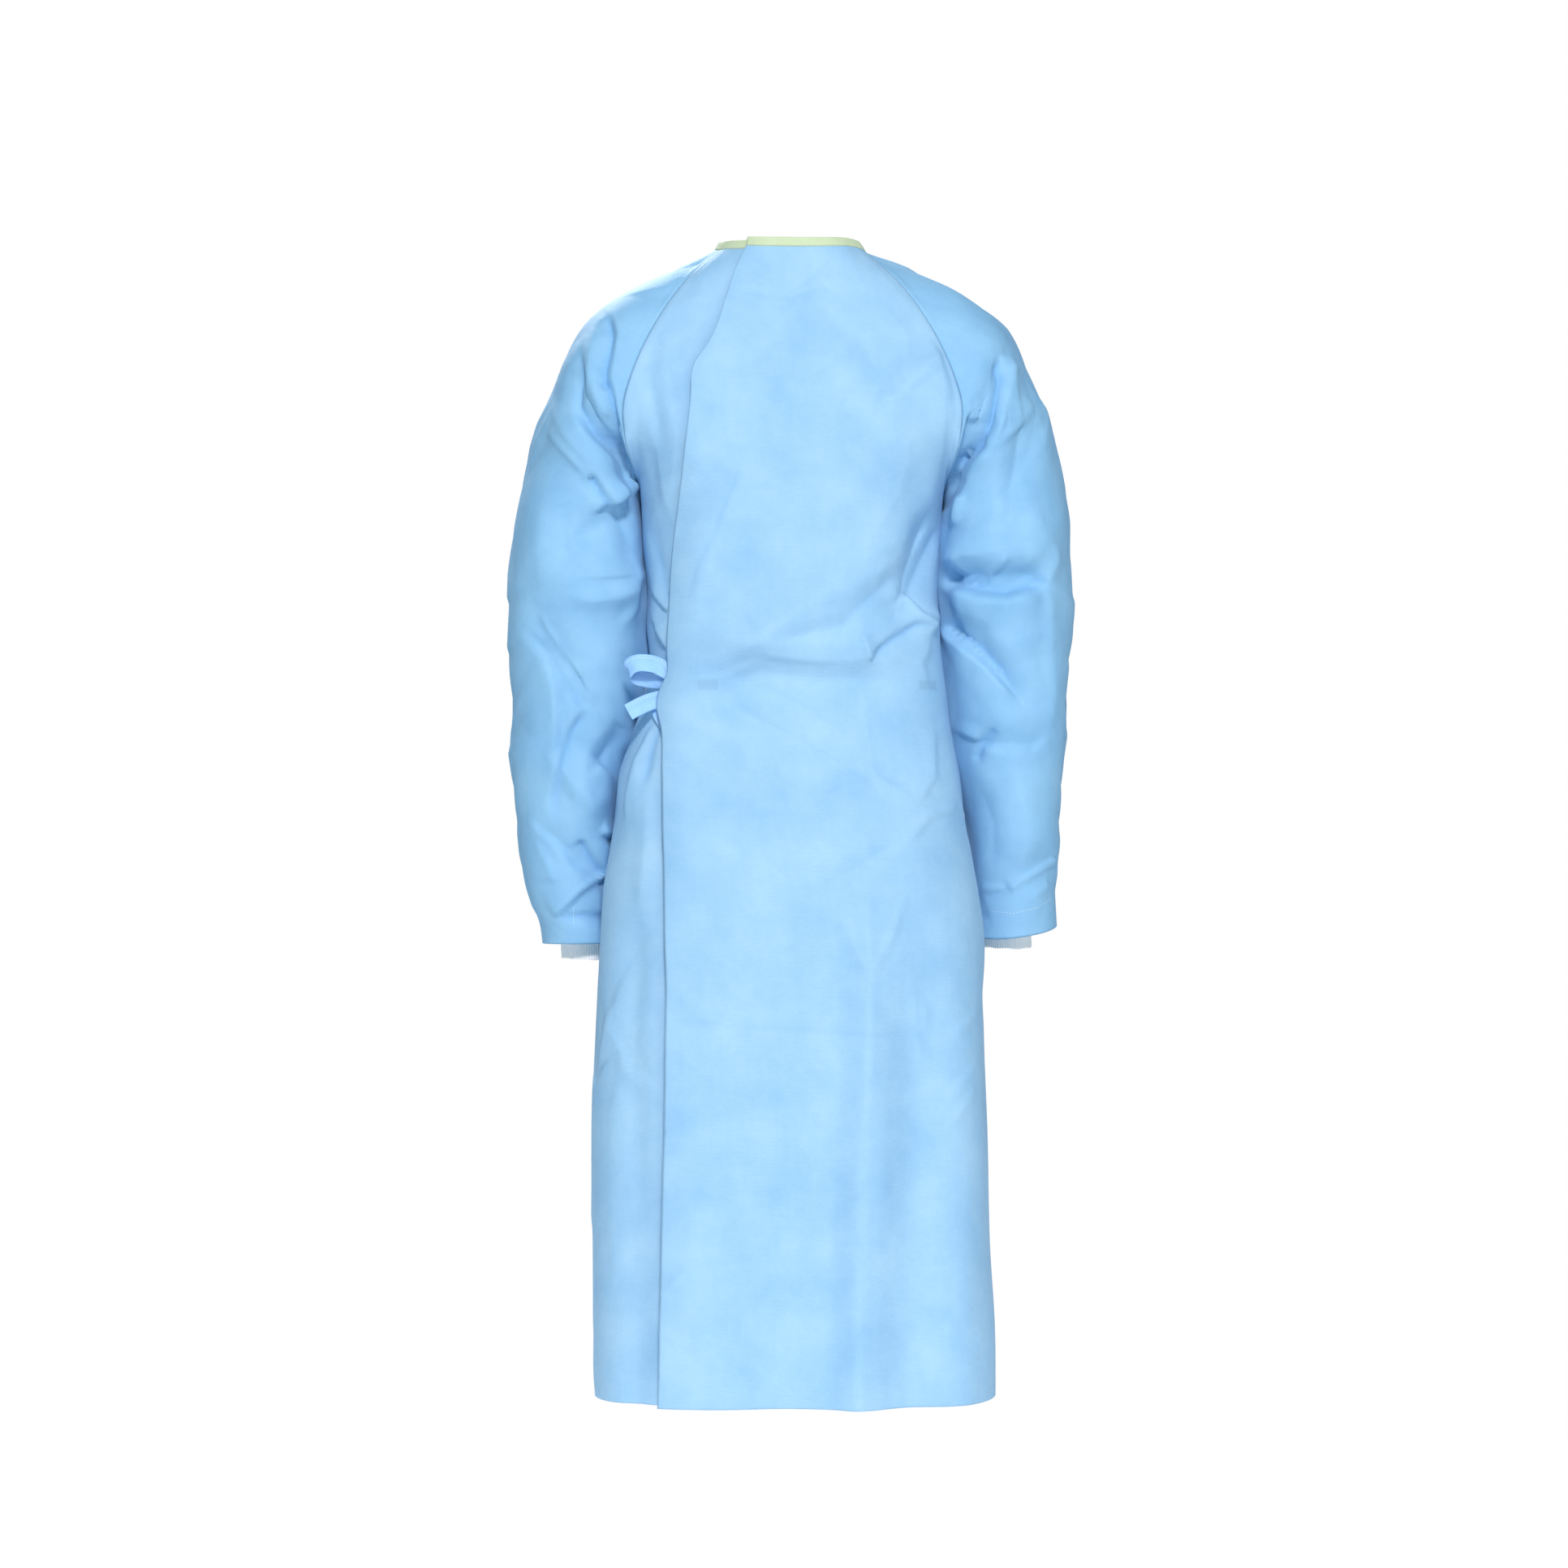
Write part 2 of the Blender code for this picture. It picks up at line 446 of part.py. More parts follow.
class Gown:
    """The outer points of all the cloth, and for each panel a grid of their numbers."""

    def __init__(self):
        self.points = []
        self.grids = {}

    def add(self, points):
        first = len(self.points)
        self.points.extend(np.asarray(points, float))
        return list(range(first, len(self.points)))

    def lay_out(self):
        downs = np.linspace(0.0, 1.0, YOKE_ROWS)
        levels = body_levels()
        seams = {}
        for side in ("left", "right"):
            back = [yoke_side(d, side)[1] for d in downs[:-1]]
            front = [yoke_side(d, side)[2] for d in downs[:-1]]
            underarm = self.add([yoke_side(1.0, side)[1]])
            flank = self.add([body_row(z, -1.0)[0 if side == "left" else -1] for z in levels])
            seams[side] = {
                "back": self.add(back) + underarm + flank,
                "front": self.add(front) + underarm + flank,
                "underarm": underarm[0],
            }
        back_rows = [yoke_back_row(d) for d in downs] + [body_row(z, -1.0) for z in levels]
        front_rows = [yoke_front_row(d) for d in downs] + [body_row(z, 1.0) for z in levels]
        right, left, front = [], [], []
        for i, line in enumerate(back_rows):
            z = line[0][2]
            edge = along_table(FLAP_EDGE, "z", z).x
            outer = evenly(between_x(line, edge, line[-1][0]), BACK_RIGHT_COLUMNS)
            hidden = min(INNER_EDGE_X, INNER_EDGE_SHARE * line[-1][0])
            inner = evenly(between_x(line, line[0][0], hidden), BACK_LEFT_COLUMNS)
            right.append(self.add(outer[:-1]) + [seams["right"]["back"][i]])
            left.append([seams["left"]["back"][i]] + self.add(inner[1:]))
        for i, line in enumerate(front_rows):
            inside = self.add(evenly(line, FRONT_COLUMNS)[1:-1])
            front.append([seams["left"]["front"][i]] + inside + [seams["right"]["front"][i]])
        self.grids["back_panel_right"] = np.array(right)
        self.grids["back_panel_left"] = np.array(left)
        self.grids["front_panel"] = np.array(front)
        for side in ("left", "right"):
            self.grids["sleeve_" + side] = self.lay_sleeve(side, downs, seams[side])
        self.points = np.array(self.points)

    def lay_sleeve(self, side, downs, seams):
        out = -1.0 if side == "left" else 1.0
        table = LEFT_SLEEVE if side == "left" else RIGHT_SLEEVE
        rows = []
        for i, down in enumerate(downs[:-1]):
            inside = half_rows(*cap_row(down, side))
            rows.append([seams["back"][i]] + self.add(inside) + [seams["front"][i]])
        top, end = table[0].inner_z, table[-1].inner_z
        steps = round((top - end) / SLEEVE_ROW_STEP)
        for step, z in enumerate(np.linspace(top, end, steps + 1)):
            sag = SLEEVE_END_SAG[side] * smoothstep(SAG_FROM_Z, end, z)
            behind, before = sleeve_ring(along_table(table, "inner_z", z), out, float(sag))
            seam = [seams["underarm"]] if step == 0 else self.add([behind[0]])
            rows.append(seam + self.add(half_rows(behind, before)) + seam)
        rows += self.turn_in(rows[-1], CUFFS[side], out)
        return np.array(rows)

    def turn_in(self, hem, cuff, out):
        """The end of the sleeve, turned in and up to where the knit cuff is sewn to it."""
        ring = np.array([self.points[i] for i in hem[:-1]])
        middle = np.array([out * cuff.x, cuff.y])
        angle = np.arctan2((ring[:, 1] - middle[1]) / cuff.half_y, (ring[:, 0] - middle[0]) / cuff.half_x)
        wider = 1.0 / math.cos(math.pi / len(ring))
        seat = np.stack(
            [
                middle[0] + (cuff.half_x + CUFF_GAP) * wider * np.cos(angle),
                middle[1] + (cuff.half_y + CUFF_GAP) * wider * np.sin(angle),
                np.full(len(ring), ring[:, 2].mean() + FLANGE_RISE),
            ],
            axis=1,
        )
        halfway = 0.5 * (ring + seat)
        halfway[:, 2] = ring[:, 2] + FLANGE_ROUND
        rows = []
        for line in (halfway, seat):
            added = self.add(line)
            rows.append(added + [added[0]])
        return rows

    def faces(self, panel):
        grid = self.grids[panel]
        made = []
        for i in range(grid.shape[0] - 1):
            for j in range(grid.shape[1] - 1):
                corners = [grid[i, j], grid[i + 1, j], grid[i + 1, j + 1], grid[i, j + 1]]
                made.append(corners if panel in OUTWARD else corners[::-1])
        return made

    def normals(self, faces):
        """Outward normals at the points of these faces."""
        total = np.zeros_like(self.points)
        for face in faces:
            a, b, c, d = self.points[face]
            total[face] += np.cross(c - a, d - b)
        return unit(total)

    def press_folds(self):
        """Moves the points along their normals by the folds that lie over them."""
        for panel in self.grids:
            kind = "back" if panel.startswith("back") else "front" if panel.startswith("front") else panel
            mine = np.unique(self.grids[panel])
            normals = self.normals(self.faces(panel))[mine]
            points = self.points[mine]
            height = np.zeros(len(mine))
            for fold in FOLDS:
                if fold.panel == kind:
                    height += fold_height(fold, points, normals)
            grid = self.grids[panel]
            beside = np.isin(mine, grid[:, [1, -2]])
            takes = np.where(self.on_seams(panel, mine), 0.0, np.where(beside, FOLD_BY_SEAM, 1.0))
            self.points[mine] = points + normals * (height * takes)[:, None]

    def on_seams(self, panel, mine):
        others = np.concatenate([g.ravel() for name, g in self.grids.items() if name != panel])
        return np.isin(mine, others)

    def part_the_backs(self):
        """Lifts the outer back panel off the inner one where they lie over each other."""
        for panel, outside in (("back_panel_right", True), ("back_panel_left", False)):
            grid = self.grids[panel]
            normals = self.normals(self.faces(panel))
            for row in grid:
                line = self.points[row]
                z = line[0][2]
                edge = along_table(FLAP_EDGE, "z", z).x
                x = line[:, 0]
                if outside:
                    shift = FLAP_LIFT * (1.0 - smoothstep(*FLAP_LEVELS_AT, x))
                    stand = along_table(FLAP_STAND, "z", z).lift
                    line[:, 1] -= stand * (1.0 - smoothstep(edge, edge + FLAP_STAND_WIDTH, x))
                else:
                    under = smoothstep(edge + INNER_LEAD[0], edge + INNER_LEAD[1], x)
                    deep = smoothstep(edge, edge + INNER_DEEP_RUN, x)
                    shift = -INNER_DROP * under - (INNER_DROP_DEEP - INNER_DROP) * deep
                self.points[row] = line + normals[row] * shift[:, None]


OUTWARD = {"back_panel_right", "back_panel_left", "sleeve_right"}


def fold_height(fold, points, normals):
    """How high one fold stands at these points, seen along Y. It runs out at both of its ends."""
    way = -1.0 if fold.side == "back" else 1.0
    facing = smoothstep(*FOLD_FACING, normals[:, 1] * way)
    start, end = np.array([fold.x0, fold.z0]), np.array([fold.x1, fold.z1])
    line = end - start
    share = ((points[:, [0, 2]] - start) @ line) / (line @ line)
    away = np.linalg.norm(points[:, [0, 2]] - (start + share[:, None] * line), axis=1)
    runs_out = smoothstep(0.0, FOLD_RUNS_OUT, share) * smoothstep(0.0, FOLD_RUNS_OUT, 1.0 - share)
    return fold.height * np.exp(-((away / fold.spread) ** 2)) * facing * runs_out


def material(name):
    found = bpy.data.materials.get(name)
    if found is None:
        colour, roughness = COLOURS[name]
        found = bpy.data.materials.new(name)
        found.use_nodes = True
        shader = found.node_tree.nodes["Principled BSDF"]
        shader.inputs["Base Color"].default_value = (*colour, 1.0)
        shader.inputs["Roughness"].default_value = roughness
        shader.inputs["Metallic"].default_value = 0.0
    return found


def add_object(name, points, faces, slot):
    mesh = bpy.data.meshes.new(name)
    mesh.from_pydata([tuple(p) for p in points], [], [tuple(int(i) for i in f) for f in faces])
    build = bmesh.new()
    build.from_mesh(mesh)
    bmesh.ops.triangulate(build, faces=build.faces)
    bmesh.ops.recalc_face_normals(build, faces=build.faces)
    build.to_mesh(mesh)
    build.free()
    mesh.shade_smooth()
    mesh.set_sharp_from_angle(angle=math.radians(SHARP_ANGLE))
    mesh.materials.append(material(slot))
    obj = bpy.data.objects.new(name, mesh)
    bpy.context.scene.collection.objects.link(obj)
    return obj


def wall(points, faces, normals, thickness):
    """A closed wall: the faces, the same faces moved in, and a rim round every free edge."""
    used = sorted({i for face in faces for i in face})
    number = {old: new for new, old in enumerate(used)}
    outer = np.array([points[i] for i in used])
    inner = outer - np.array([normals[i] for i in used]) * thickness
    count = len(used)
    made = [[number[i] for i in face] for face in faces]
    edges = {}
    for face in made:
        for a, b in zip(face, face[1:] + face[:1]):
            if (b, a) in edges:
                del edges[(b, a)]
            else:
                edges[(a, b)] = True
    closed = list(made)
    closed += [[i + count for i in reversed(face)] for face in made]
    closed += [[b, a, a + count, b + count] for a, b in edges]
    return np.vstack([outer, inner]), closed


def draw_back(gown, panel):
    """The points, with those on this panel's seams moved into it by half the gap, square to the seam.
    Where a seam ends, as at a sleeve's underarm corner, they move by the whole gap."""
    moved = gown.points.copy()
    grid = gown.grids[panel]
    mine = np.unique(grid)
    on_seam = set(mine[gown.on_seams(panel, mine)])
    pull = {i: np.zeros(3) for i in on_seam}
    run = {i: np.zeros(3) for i in on_seam}
    for column, inside in ((0, 1), (-1, -2)):
        line = grid[:, column]
        for k, i in enumerate(line):
            if i in on_seam:
                pull[i] += unit(gown.points[grid[k, inside]] - gown.points[i])
                low, high = max(k - 1, 0), min(k + 1, len(line) - 1)
                if line[low] in on_seam and line[high] in on_seam:
                    run[i] = gown.points[line[high]] - gown.points[line[low]]
    for i in on_seam:
        along = unit(run[i])
        reach = SEAM_GAP / 2 if run[i].any() else SEAM_GAP
        moved[i] += unit(pull[i] - along * (pull[i] @ along)) * reach
    return moved


def make_panels(gown):
    """Each panel's wall. Panels that a seam joins have the same normal there, so their edges stay level."""
    trunk = [panel for panel in gown.grids if not panel.startswith("sleeve")]
    over_all = gown.normals([f for panel in gown.grids for f in gown.faces(panel)])
    over_trunk = gown.normals([f for panel in trunk for f in gown.faces(panel)])
    for panel, grid in gown.grids.items():
        faces = gown.faces(panel)
        normals = gown.normals(faces)
        mine = np.unique(grid)
        seams = mine[gown.on_seams(panel, mine)]
        if panel in trunk:
            others = [gown.grids[name].ravel() for name in trunk if name != panel]
            flank = seams[np.isin(seams, np.concatenate(others))]
            normals[flank] = over_trunk[flank]
            seams = np.setdiff1d(seams, flank)
        agree = (normals[seams] * over_all[seams]).sum(axis=1) > SEAM_BEND
        normals[seams[agree]] = over_all[seams[agree]]
        points = draw_back(gown, panel)
        slot = "sleeve" if panel.startswith("sleeve") else "cloth"
        add_object(panel, *wall(points, faces, normals, CLOTH), slot)


def make_cuffs(gown):
    for side, cuff in CUFFS.items():
        out = -1.0 if side == "left" else 1.0
        seat = gown.points[gown.grids["sleeve_" + side][-1][0]][2]
        sleeve_end = seat - FLANGE_RISE
        levels = np.linspace(sleeve_end + CUFF_HIDDEN, sleeve_end - CUFF_SHOWS, CUFF_ROWS)
        angles = np.linspace(0.0, 2 * math.pi, CUFF_COLUMNS, endpoint=False)
        loops = []
        for inset, heights in ((0.0, levels), (KNIT, levels[::-1])):
            for z in heights:
                x = out * cuff.x + (cuff.half_x - inset) * np.cos(angles)
                y = cuff.y + (cuff.half_y - inset) * np.sin(angles)
                loops.append(np.stack([x, y, np.full(CUFF_COLUMNS, z)], axis=1))
        faces = []
        for i in range(len(loops)):
            here, there = i * CUFF_COLUMNS, (i + 1) % len(loops) * CUFF_COLUMNS
            for j in range(CUFF_COLUMNS):
                k = (j + 1) % CUFF_COLUMNS
                faces.append([here + j, here + k, there + k, there + j])
        add_object("cuff_" + side, np.vstack(loops), faces, "knit")


def neck_line(gown):
    """The neckline's points from the outer free edge round to the inner one, and how the cloth
    rises and faces there. Each panel's row is taken forwards (1) or backwards (-1)."""
    order = [
        ("back_panel_right", 1),
        ("sleeve_right", 1),
        ("front_panel", -1),
        ("sleeve_left", -1),
        ("back_panel_left", 1),
    ]
    line, rise, across_wall = [], [], []
    for panel, way in order:
        grid = gown.grids[panel]
        own = gown.normals(gown.faces(panel))
        top, below = grid[0][::way], grid[1][::way]
        for a, b in zip(top, below):
            line.append(gown.points[a])
            rise.append(unit(gown.points[a] - gown.points[b]))
            across_wall.append(own[a])
    return np.array(line), np.array(rise), np.array(across_wall)


def make_binding(gown):
    """A strip that stands on the neckline, leaning in from the cloth's own slope towards upright."""
    line, rise, outward = neck_line(gown)
    keep = np.concatenate([[True], np.linalg.norm(np.diff(line, axis=0), axis=1) > SAME_POINT])
    line, rise, outward = line[keep], rise[keep], outward[keep]
    foot = line - outward * CLOTH / 2 + rise * BINDING_GAP
    up = rise.copy()
    for _ in range(BINDING_SMOOTHINGS):
        up[1:-1] = unit(up[:-2] + 2 * up[1:-1] + up[2:])
    up = unit(up + np.array([0.0, 0.0, 1.0]))
    along = unit(np.gradient(line, axis=0))
    face = unit(np.cross(up, along))
    face *= np.sign((face * outward).sum(axis=1))[:, None]
    half, chamfer = BINDING_THICKNESS / 2, BINDING_CHAMFER
    section = [
        (0.0, -half),
        (0.0, half),
        (BINDING_HEIGHT - chamfer, half),
        (BINDING_HEIGHT, half - chamfer),
        (BINDING_HEIGHT, chamfer - half),
        (BINDING_HEIGHT - chamfer, -half),
    ]
    rings = [foot + up * high + (outward if high == 0.0 else face) * out for high, out in section]
    points = np.stack(rings, axis=1).reshape(-1, 3)
    size = len(section)
    faces = [
        [i * size + j, i * size + (j + 1) % size, (i + 1) * size + (j + 1) % size, (i + 1) * size + j]
        for i in range(len(line) - 1)
        for j in range(size)
    ]
    faces += [list(range(size)), list(range((len(line) - 1) * size, len(line) * size))[::-1]]
    add_object("neck_binding", points, faces, "binding")


def make_ties(gown):
    """The bow: strips, and a knot against the inner back panel at the outer one's edge."""
    for name, strips in TIES.items():
        table = np.array(strips)
        ribbon(name, table[:, :3], table[:, 3:], TIE_SECTIONS[name])
    at, off = on_panel(gown, "back_panel_left", KNOT_X, KNOT_Z)
    upright = unit(np.array([0.0, 0.0, 1.0]) - off * off[2])
    sideways = np.cross(upright, off)
    build = bmesh.new()
    bmesh.ops.create_icosphere(build, subdivisions=2, radius=1.0)
    ball = np.array([v.co[:] for v in build.verts])
    faces = [[v.index for v in f.verts] for f in build.faces]
    build.free()
    wide, thick, high = KNOT_HALF
    middle = at + off * (thick + KNOT_GAP)
    axes = np.array([sideways * wide, off * thick, upright * high])
    add_object("tie_knot", middle + ball @ axes, faces, "tie")


def on_panel(gown, panel, x, z):
    """The point of a panel's outer face at that x and z, and its normal there."""
    normals = gown.normals(gown.faces(panel))
    rows = []
    for row in gown.grids[panel]:
        table = np.hstack([gown.points[row], normals[row]])
        table = table[np.argsort(table[:, 0])]
        rows.append([np.interp(x, table[:, 0], table[:, k]) for k in range(6)])
    rows = np.array(rows)
    rows = rows[np.argsort(rows[:, 2])]
    read = np.array([np.interp(z, rows[:, 2], rows[:, k]) for k in range(6)])
    return read[:3], unit(read[3:])


def ribbon(name, path, widths, count):
    """A flat strip along a path. widths gives the way that its width points at each point."""
    path, widths = evenly_with(path, widths, count)
    along = unit(np.gradient(path, axis=0))
    side = unit(widths - along * (widths * along).sum(axis=1)[:, None])
    face = np.cross(along, side)
    corners = [(-0.5, -0.5), (0.5, -0.5), (0.5, 0.5), (-0.5, 0.5)]
    rings = [path + side * TIE_WIDTH * a + face * TIE_THICKNESS * b for a, b in corners]
    points = np.stack(rings, axis=1).reshape(-1, 3)
    faces = [
        [i * 4 + j, i * 4 + (j + 1) % 4, (i + 1) * 4 + (j + 1) % 4, (i + 1) * 4 + j]
        for i in range(count - 1)
        for j in range(4)
    ]
    faces += [[0, 1, 2, 3], [(count - 1) * 4 + j for j in (3, 2, 1, 0)]]
    add_object(name, points, faces, "tie")


def evenly_with(path, widths, count):
    """A smooth curve through the path's points, and the widths blended along it."""
    ts = np.linspace(0, len(path) - 1, CURVE_STEPS * len(path))
    slopes = np.gradient(path, axis=0)
    i = np.minimum(ts.astype(int), len(path) - 2)
    s = (ts - i)[:, None]
    curve = (2 * s**3 - 3 * s**2 + 1) * path[i] + (s**3 - 2 * s**2 + s) * slopes[i]
    curve += (-2 * s**3 + 3 * s**2) * path[i + 1] + (s**3 - s**2) * slopes[i + 1]
    turned = (1 - s) * widths[i] + s * widths[i + 1]
    along = np.concatenate([[0.0], np.cumsum(np.linalg.norm(np.diff(curve, axis=0), axis=1))])
    at = np.linspace(0.0, along[-1], count)
    columns = [np.interp(at, along, line[:, k]) for line in (curve, turned) for k in range(3)]
    return np.stack(columns[:3], axis=1), np.stack(columns[3:], axis=1)


def main():
    for obj in list(bpy.data.objects):
        bpy.data.objects.remove(obj, do_unlink=True)
    gown = Gown()
    gown.lay_out()
    gown.press_folds()
    gown.part_the_backs()
    make_panels(gown)
    make_cuffs(gown)
    make_binding(gown)
    make_ties(gown)


main()
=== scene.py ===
"""The looks of a worn surgical gown: thin creased cloth, knit cuffs, a bound neck and a bow at the waist.

Metres, +Z up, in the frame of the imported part: the back faces -Y and the front +Y. Creases and sewn lines are
in millimetres.
"""

import math
from collections import namedtuple

import bpy
import numpy as np
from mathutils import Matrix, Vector, geometry


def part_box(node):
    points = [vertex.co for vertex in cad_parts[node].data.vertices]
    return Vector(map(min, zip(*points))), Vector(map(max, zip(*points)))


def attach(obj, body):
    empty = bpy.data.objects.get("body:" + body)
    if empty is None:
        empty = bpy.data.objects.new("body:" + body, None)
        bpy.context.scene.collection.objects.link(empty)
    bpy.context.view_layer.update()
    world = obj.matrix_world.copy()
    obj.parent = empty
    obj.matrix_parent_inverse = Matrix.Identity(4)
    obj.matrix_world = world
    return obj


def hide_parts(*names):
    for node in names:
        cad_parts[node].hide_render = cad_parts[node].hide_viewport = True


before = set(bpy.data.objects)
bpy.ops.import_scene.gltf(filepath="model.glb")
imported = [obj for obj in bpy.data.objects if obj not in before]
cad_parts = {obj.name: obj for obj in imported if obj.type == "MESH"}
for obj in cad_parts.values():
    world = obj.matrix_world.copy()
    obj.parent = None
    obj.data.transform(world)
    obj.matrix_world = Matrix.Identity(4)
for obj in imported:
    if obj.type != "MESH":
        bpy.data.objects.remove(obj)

BODY = "root"
MM = 0.001

# ---------------------------------------------------------------- the gown's own sizes, as in the part

EDGE_SHEET = 0.0005  # how thick the cloth is drawn at its edges
SHEET = 0.0012  # and away from them, where its coarser inner layer has to stay inside
SHEET_GROWS_OVER = 0.012
SEAM_TAPER = 0.013  # folds run out over this distance from a seam
SEAM_RIDGE = 0.00045  # cloth stands up beside a seam by this much
SEAM_RIDGE_AT, SEAM_RIDGE_WIDTH = 0.0034, 0.0024
HEM_Z = -1.153
UNDERARM_Z = -0.250

FLAP_LIFT = 0.0016
FLAP_LEVELS_AT = (0.05, 0.10)
INNER_DROP = 0.0016
INNER_DROP_DEEP = 0.0060
INNER_LEAD = (-0.030, -0.002)
INNER_DEEP_RUN = 0.045
INNER_EDGE_X = 0.045
INNER_EDGE_SHARE = 0.62

BINDING_HEIGHT = 0.0095
TIE_WIDTH = 0.0170
CUFF_GAP = 0.0006
CUFF_SHOWS = 0.0165
CUFF_HIDDEN = 0.014
KNIT = 0.0018
FLANGE_RISE = 0.009
FLANGE_ROUND = 0.004
SAG_FROM_Z = -0.62

BACK_DEEPENS_OVER = 0.75  # the share of the yoke over which its depth grows from the neck's to the chest's
FRONT_DEEPENS_OVER = 0.8
FRONT_DROP_OVER = 0.9  # and over which the front neckline's drop runs out
MIDDLE_LEAD = 0.42  # how far a yoke row's curve leads straight on, as a share of half its width
SEAM_LEAD = 0.42
SEAM_LEAD_TURNED = 0.24
HALF_ELLIPSE_LEAD = 4 / 3
YOKE_LEVELS_OUT = 0.45
FOLD_RUNS_OUT = 0.3
FOLD_FACING = (0.02, 0.46)  # how squarely the cloth faces the fold's side where it starts and stands in full
FOLD_REACH = 1.9  # how many spreads a fold reaches that doesn't run to the hem
FOLD_CRISP = 0.7  # how far it is a crisp one
FOLD_POWER = 1.4

# Points of a panel's grid. Its rows and columns are odd in number, and a sleeve closes on an odd row.
YOKE_ROWS = 113
TRUNK_ROWS = 366
BACK_RIGHT_COLUMNS = 161
BACK_LEFT_COLUMNS = 99
FRONT_COLUMNS = 149
SLEEVE_HALF_COLUMNS = 75
SLEEVE_ROWS = 166
TURNED_IN_AT = (0.04, 0.12, 0.25, 0.4, 0.55, 0.7, 0.85, 1.0)
DENSE = 220  # points of half a row before it is evened out

Ring = namedtuple("Ring", "z left right back front back_square front_square")
BODY_RINGS = [
    Ring(-0.250, 0.1480, 0.1530, 0.128, 0.132, 2.30, 2.30),
    Ring(-0.300, 0.1485, 0.1535, 0.129, 0.135, 2.40, 2.35),
    Ring(-0.340, 0.1440, 0.1500, 0.127, 0.134, 2.55, 2.40),
    Ring(-0.384, 0.1445, 0.1520, 0.121, 0.128, 2.65, 2.40),
    Ring(-0.415, 0.1415, 0.1535, 0.115, 0.122, 2.70, 2.40),
    Ring(-0.446, 0.1455, 0.1565, 0.111, 0.119, 2.70, 2.40),
    Ring(-0.486, 0.1565, 0.1625, 0.113, 0.122, 2.70, 2.40),
    Ring(-0.528, 0.1704, 0.1710, 0.118, 0.127, 2.70, 2.40),
    Ring(-0.585, 0.1778, 0.1775, 0.125, 0.133, 2.75, 2.40),
    Ring(-0.640, 0.1860, 0.1880, 0.129, 0.137, 2.80, 2.40),
    Ring(-0.684, 0.1897, 0.1940, 0.131, 0.139, 2.85, 2.45),
    Ring(-0.765, 0.1942, 0.1945, 0.133, 0.141, 2.85, 2.45),
    Ring(-0.888, 0.1991, 0.1994, 0.135, 0.144, 2.85, 2.50),
    Ring(-1.010, 0.1983, 0.2018, 0.136, 0.146, 2.85, 2.50),
    Ring(-1.109, 0.1967, 0.2067, 0.137, 0.148, 2.85, 2.50),
    Ring(-1.153, 0.1950, 0.2075, 0.137, 0.149, 2.85, 2.50),
]

Yoke = namedtuple(
    "Yoke",
    "down back_x back_y back_z front_x front_y front_z cap_x cap_z sleeve_turn body_turn reach",
)
YOKE = [
    Yoke(0.0, 0.0700, -0.038, -0.0050, 0.065, 0.044, -0.022, 0.0745, -0.0045, -68, 50, 0.36),
    Yoke(0.2, 0.1040, -0.063, -0.0385, 0.096, 0.077, -0.060, 0.1250, -0.0255, -45, 27, 0.38),
    Yoke(0.4, 0.1345, -0.087, -0.0850, 0.125, 0.101, -0.104, 0.1720, -0.0495, -20, 15, 0.40),
    Yoke(0.6, 0.1575, -0.104, -0.1385, 0.147, 0.114, -0.151, 0.2085, -0.0800, 0, 14, 0.43),
    Yoke(0.8, 0.1645, -0.104, -0.1830, 0.158, 0.110, -0.192, 0.2345, -0.1280, 24, 30, 0.52),
    Yoke(0.9, 0.1600, -0.084, -0.2130, 0.156, 0.086, -0.219, 0.2480, -0.1650, 46, 52, 0.66),
    Yoke(1.0, 0.1480, 0.000, -0.2500, 0.148, 0.000, -0.250, 0.2620, -0.2080, 90, 90, 0.97),
]
BACK_NECK_DEPTH = 0.074
FRONT_NECK_DEPTH = 0.082
FRONT_NECK_DROP = 0.031
RIGHT_YOKE_WIDTH = 1.034

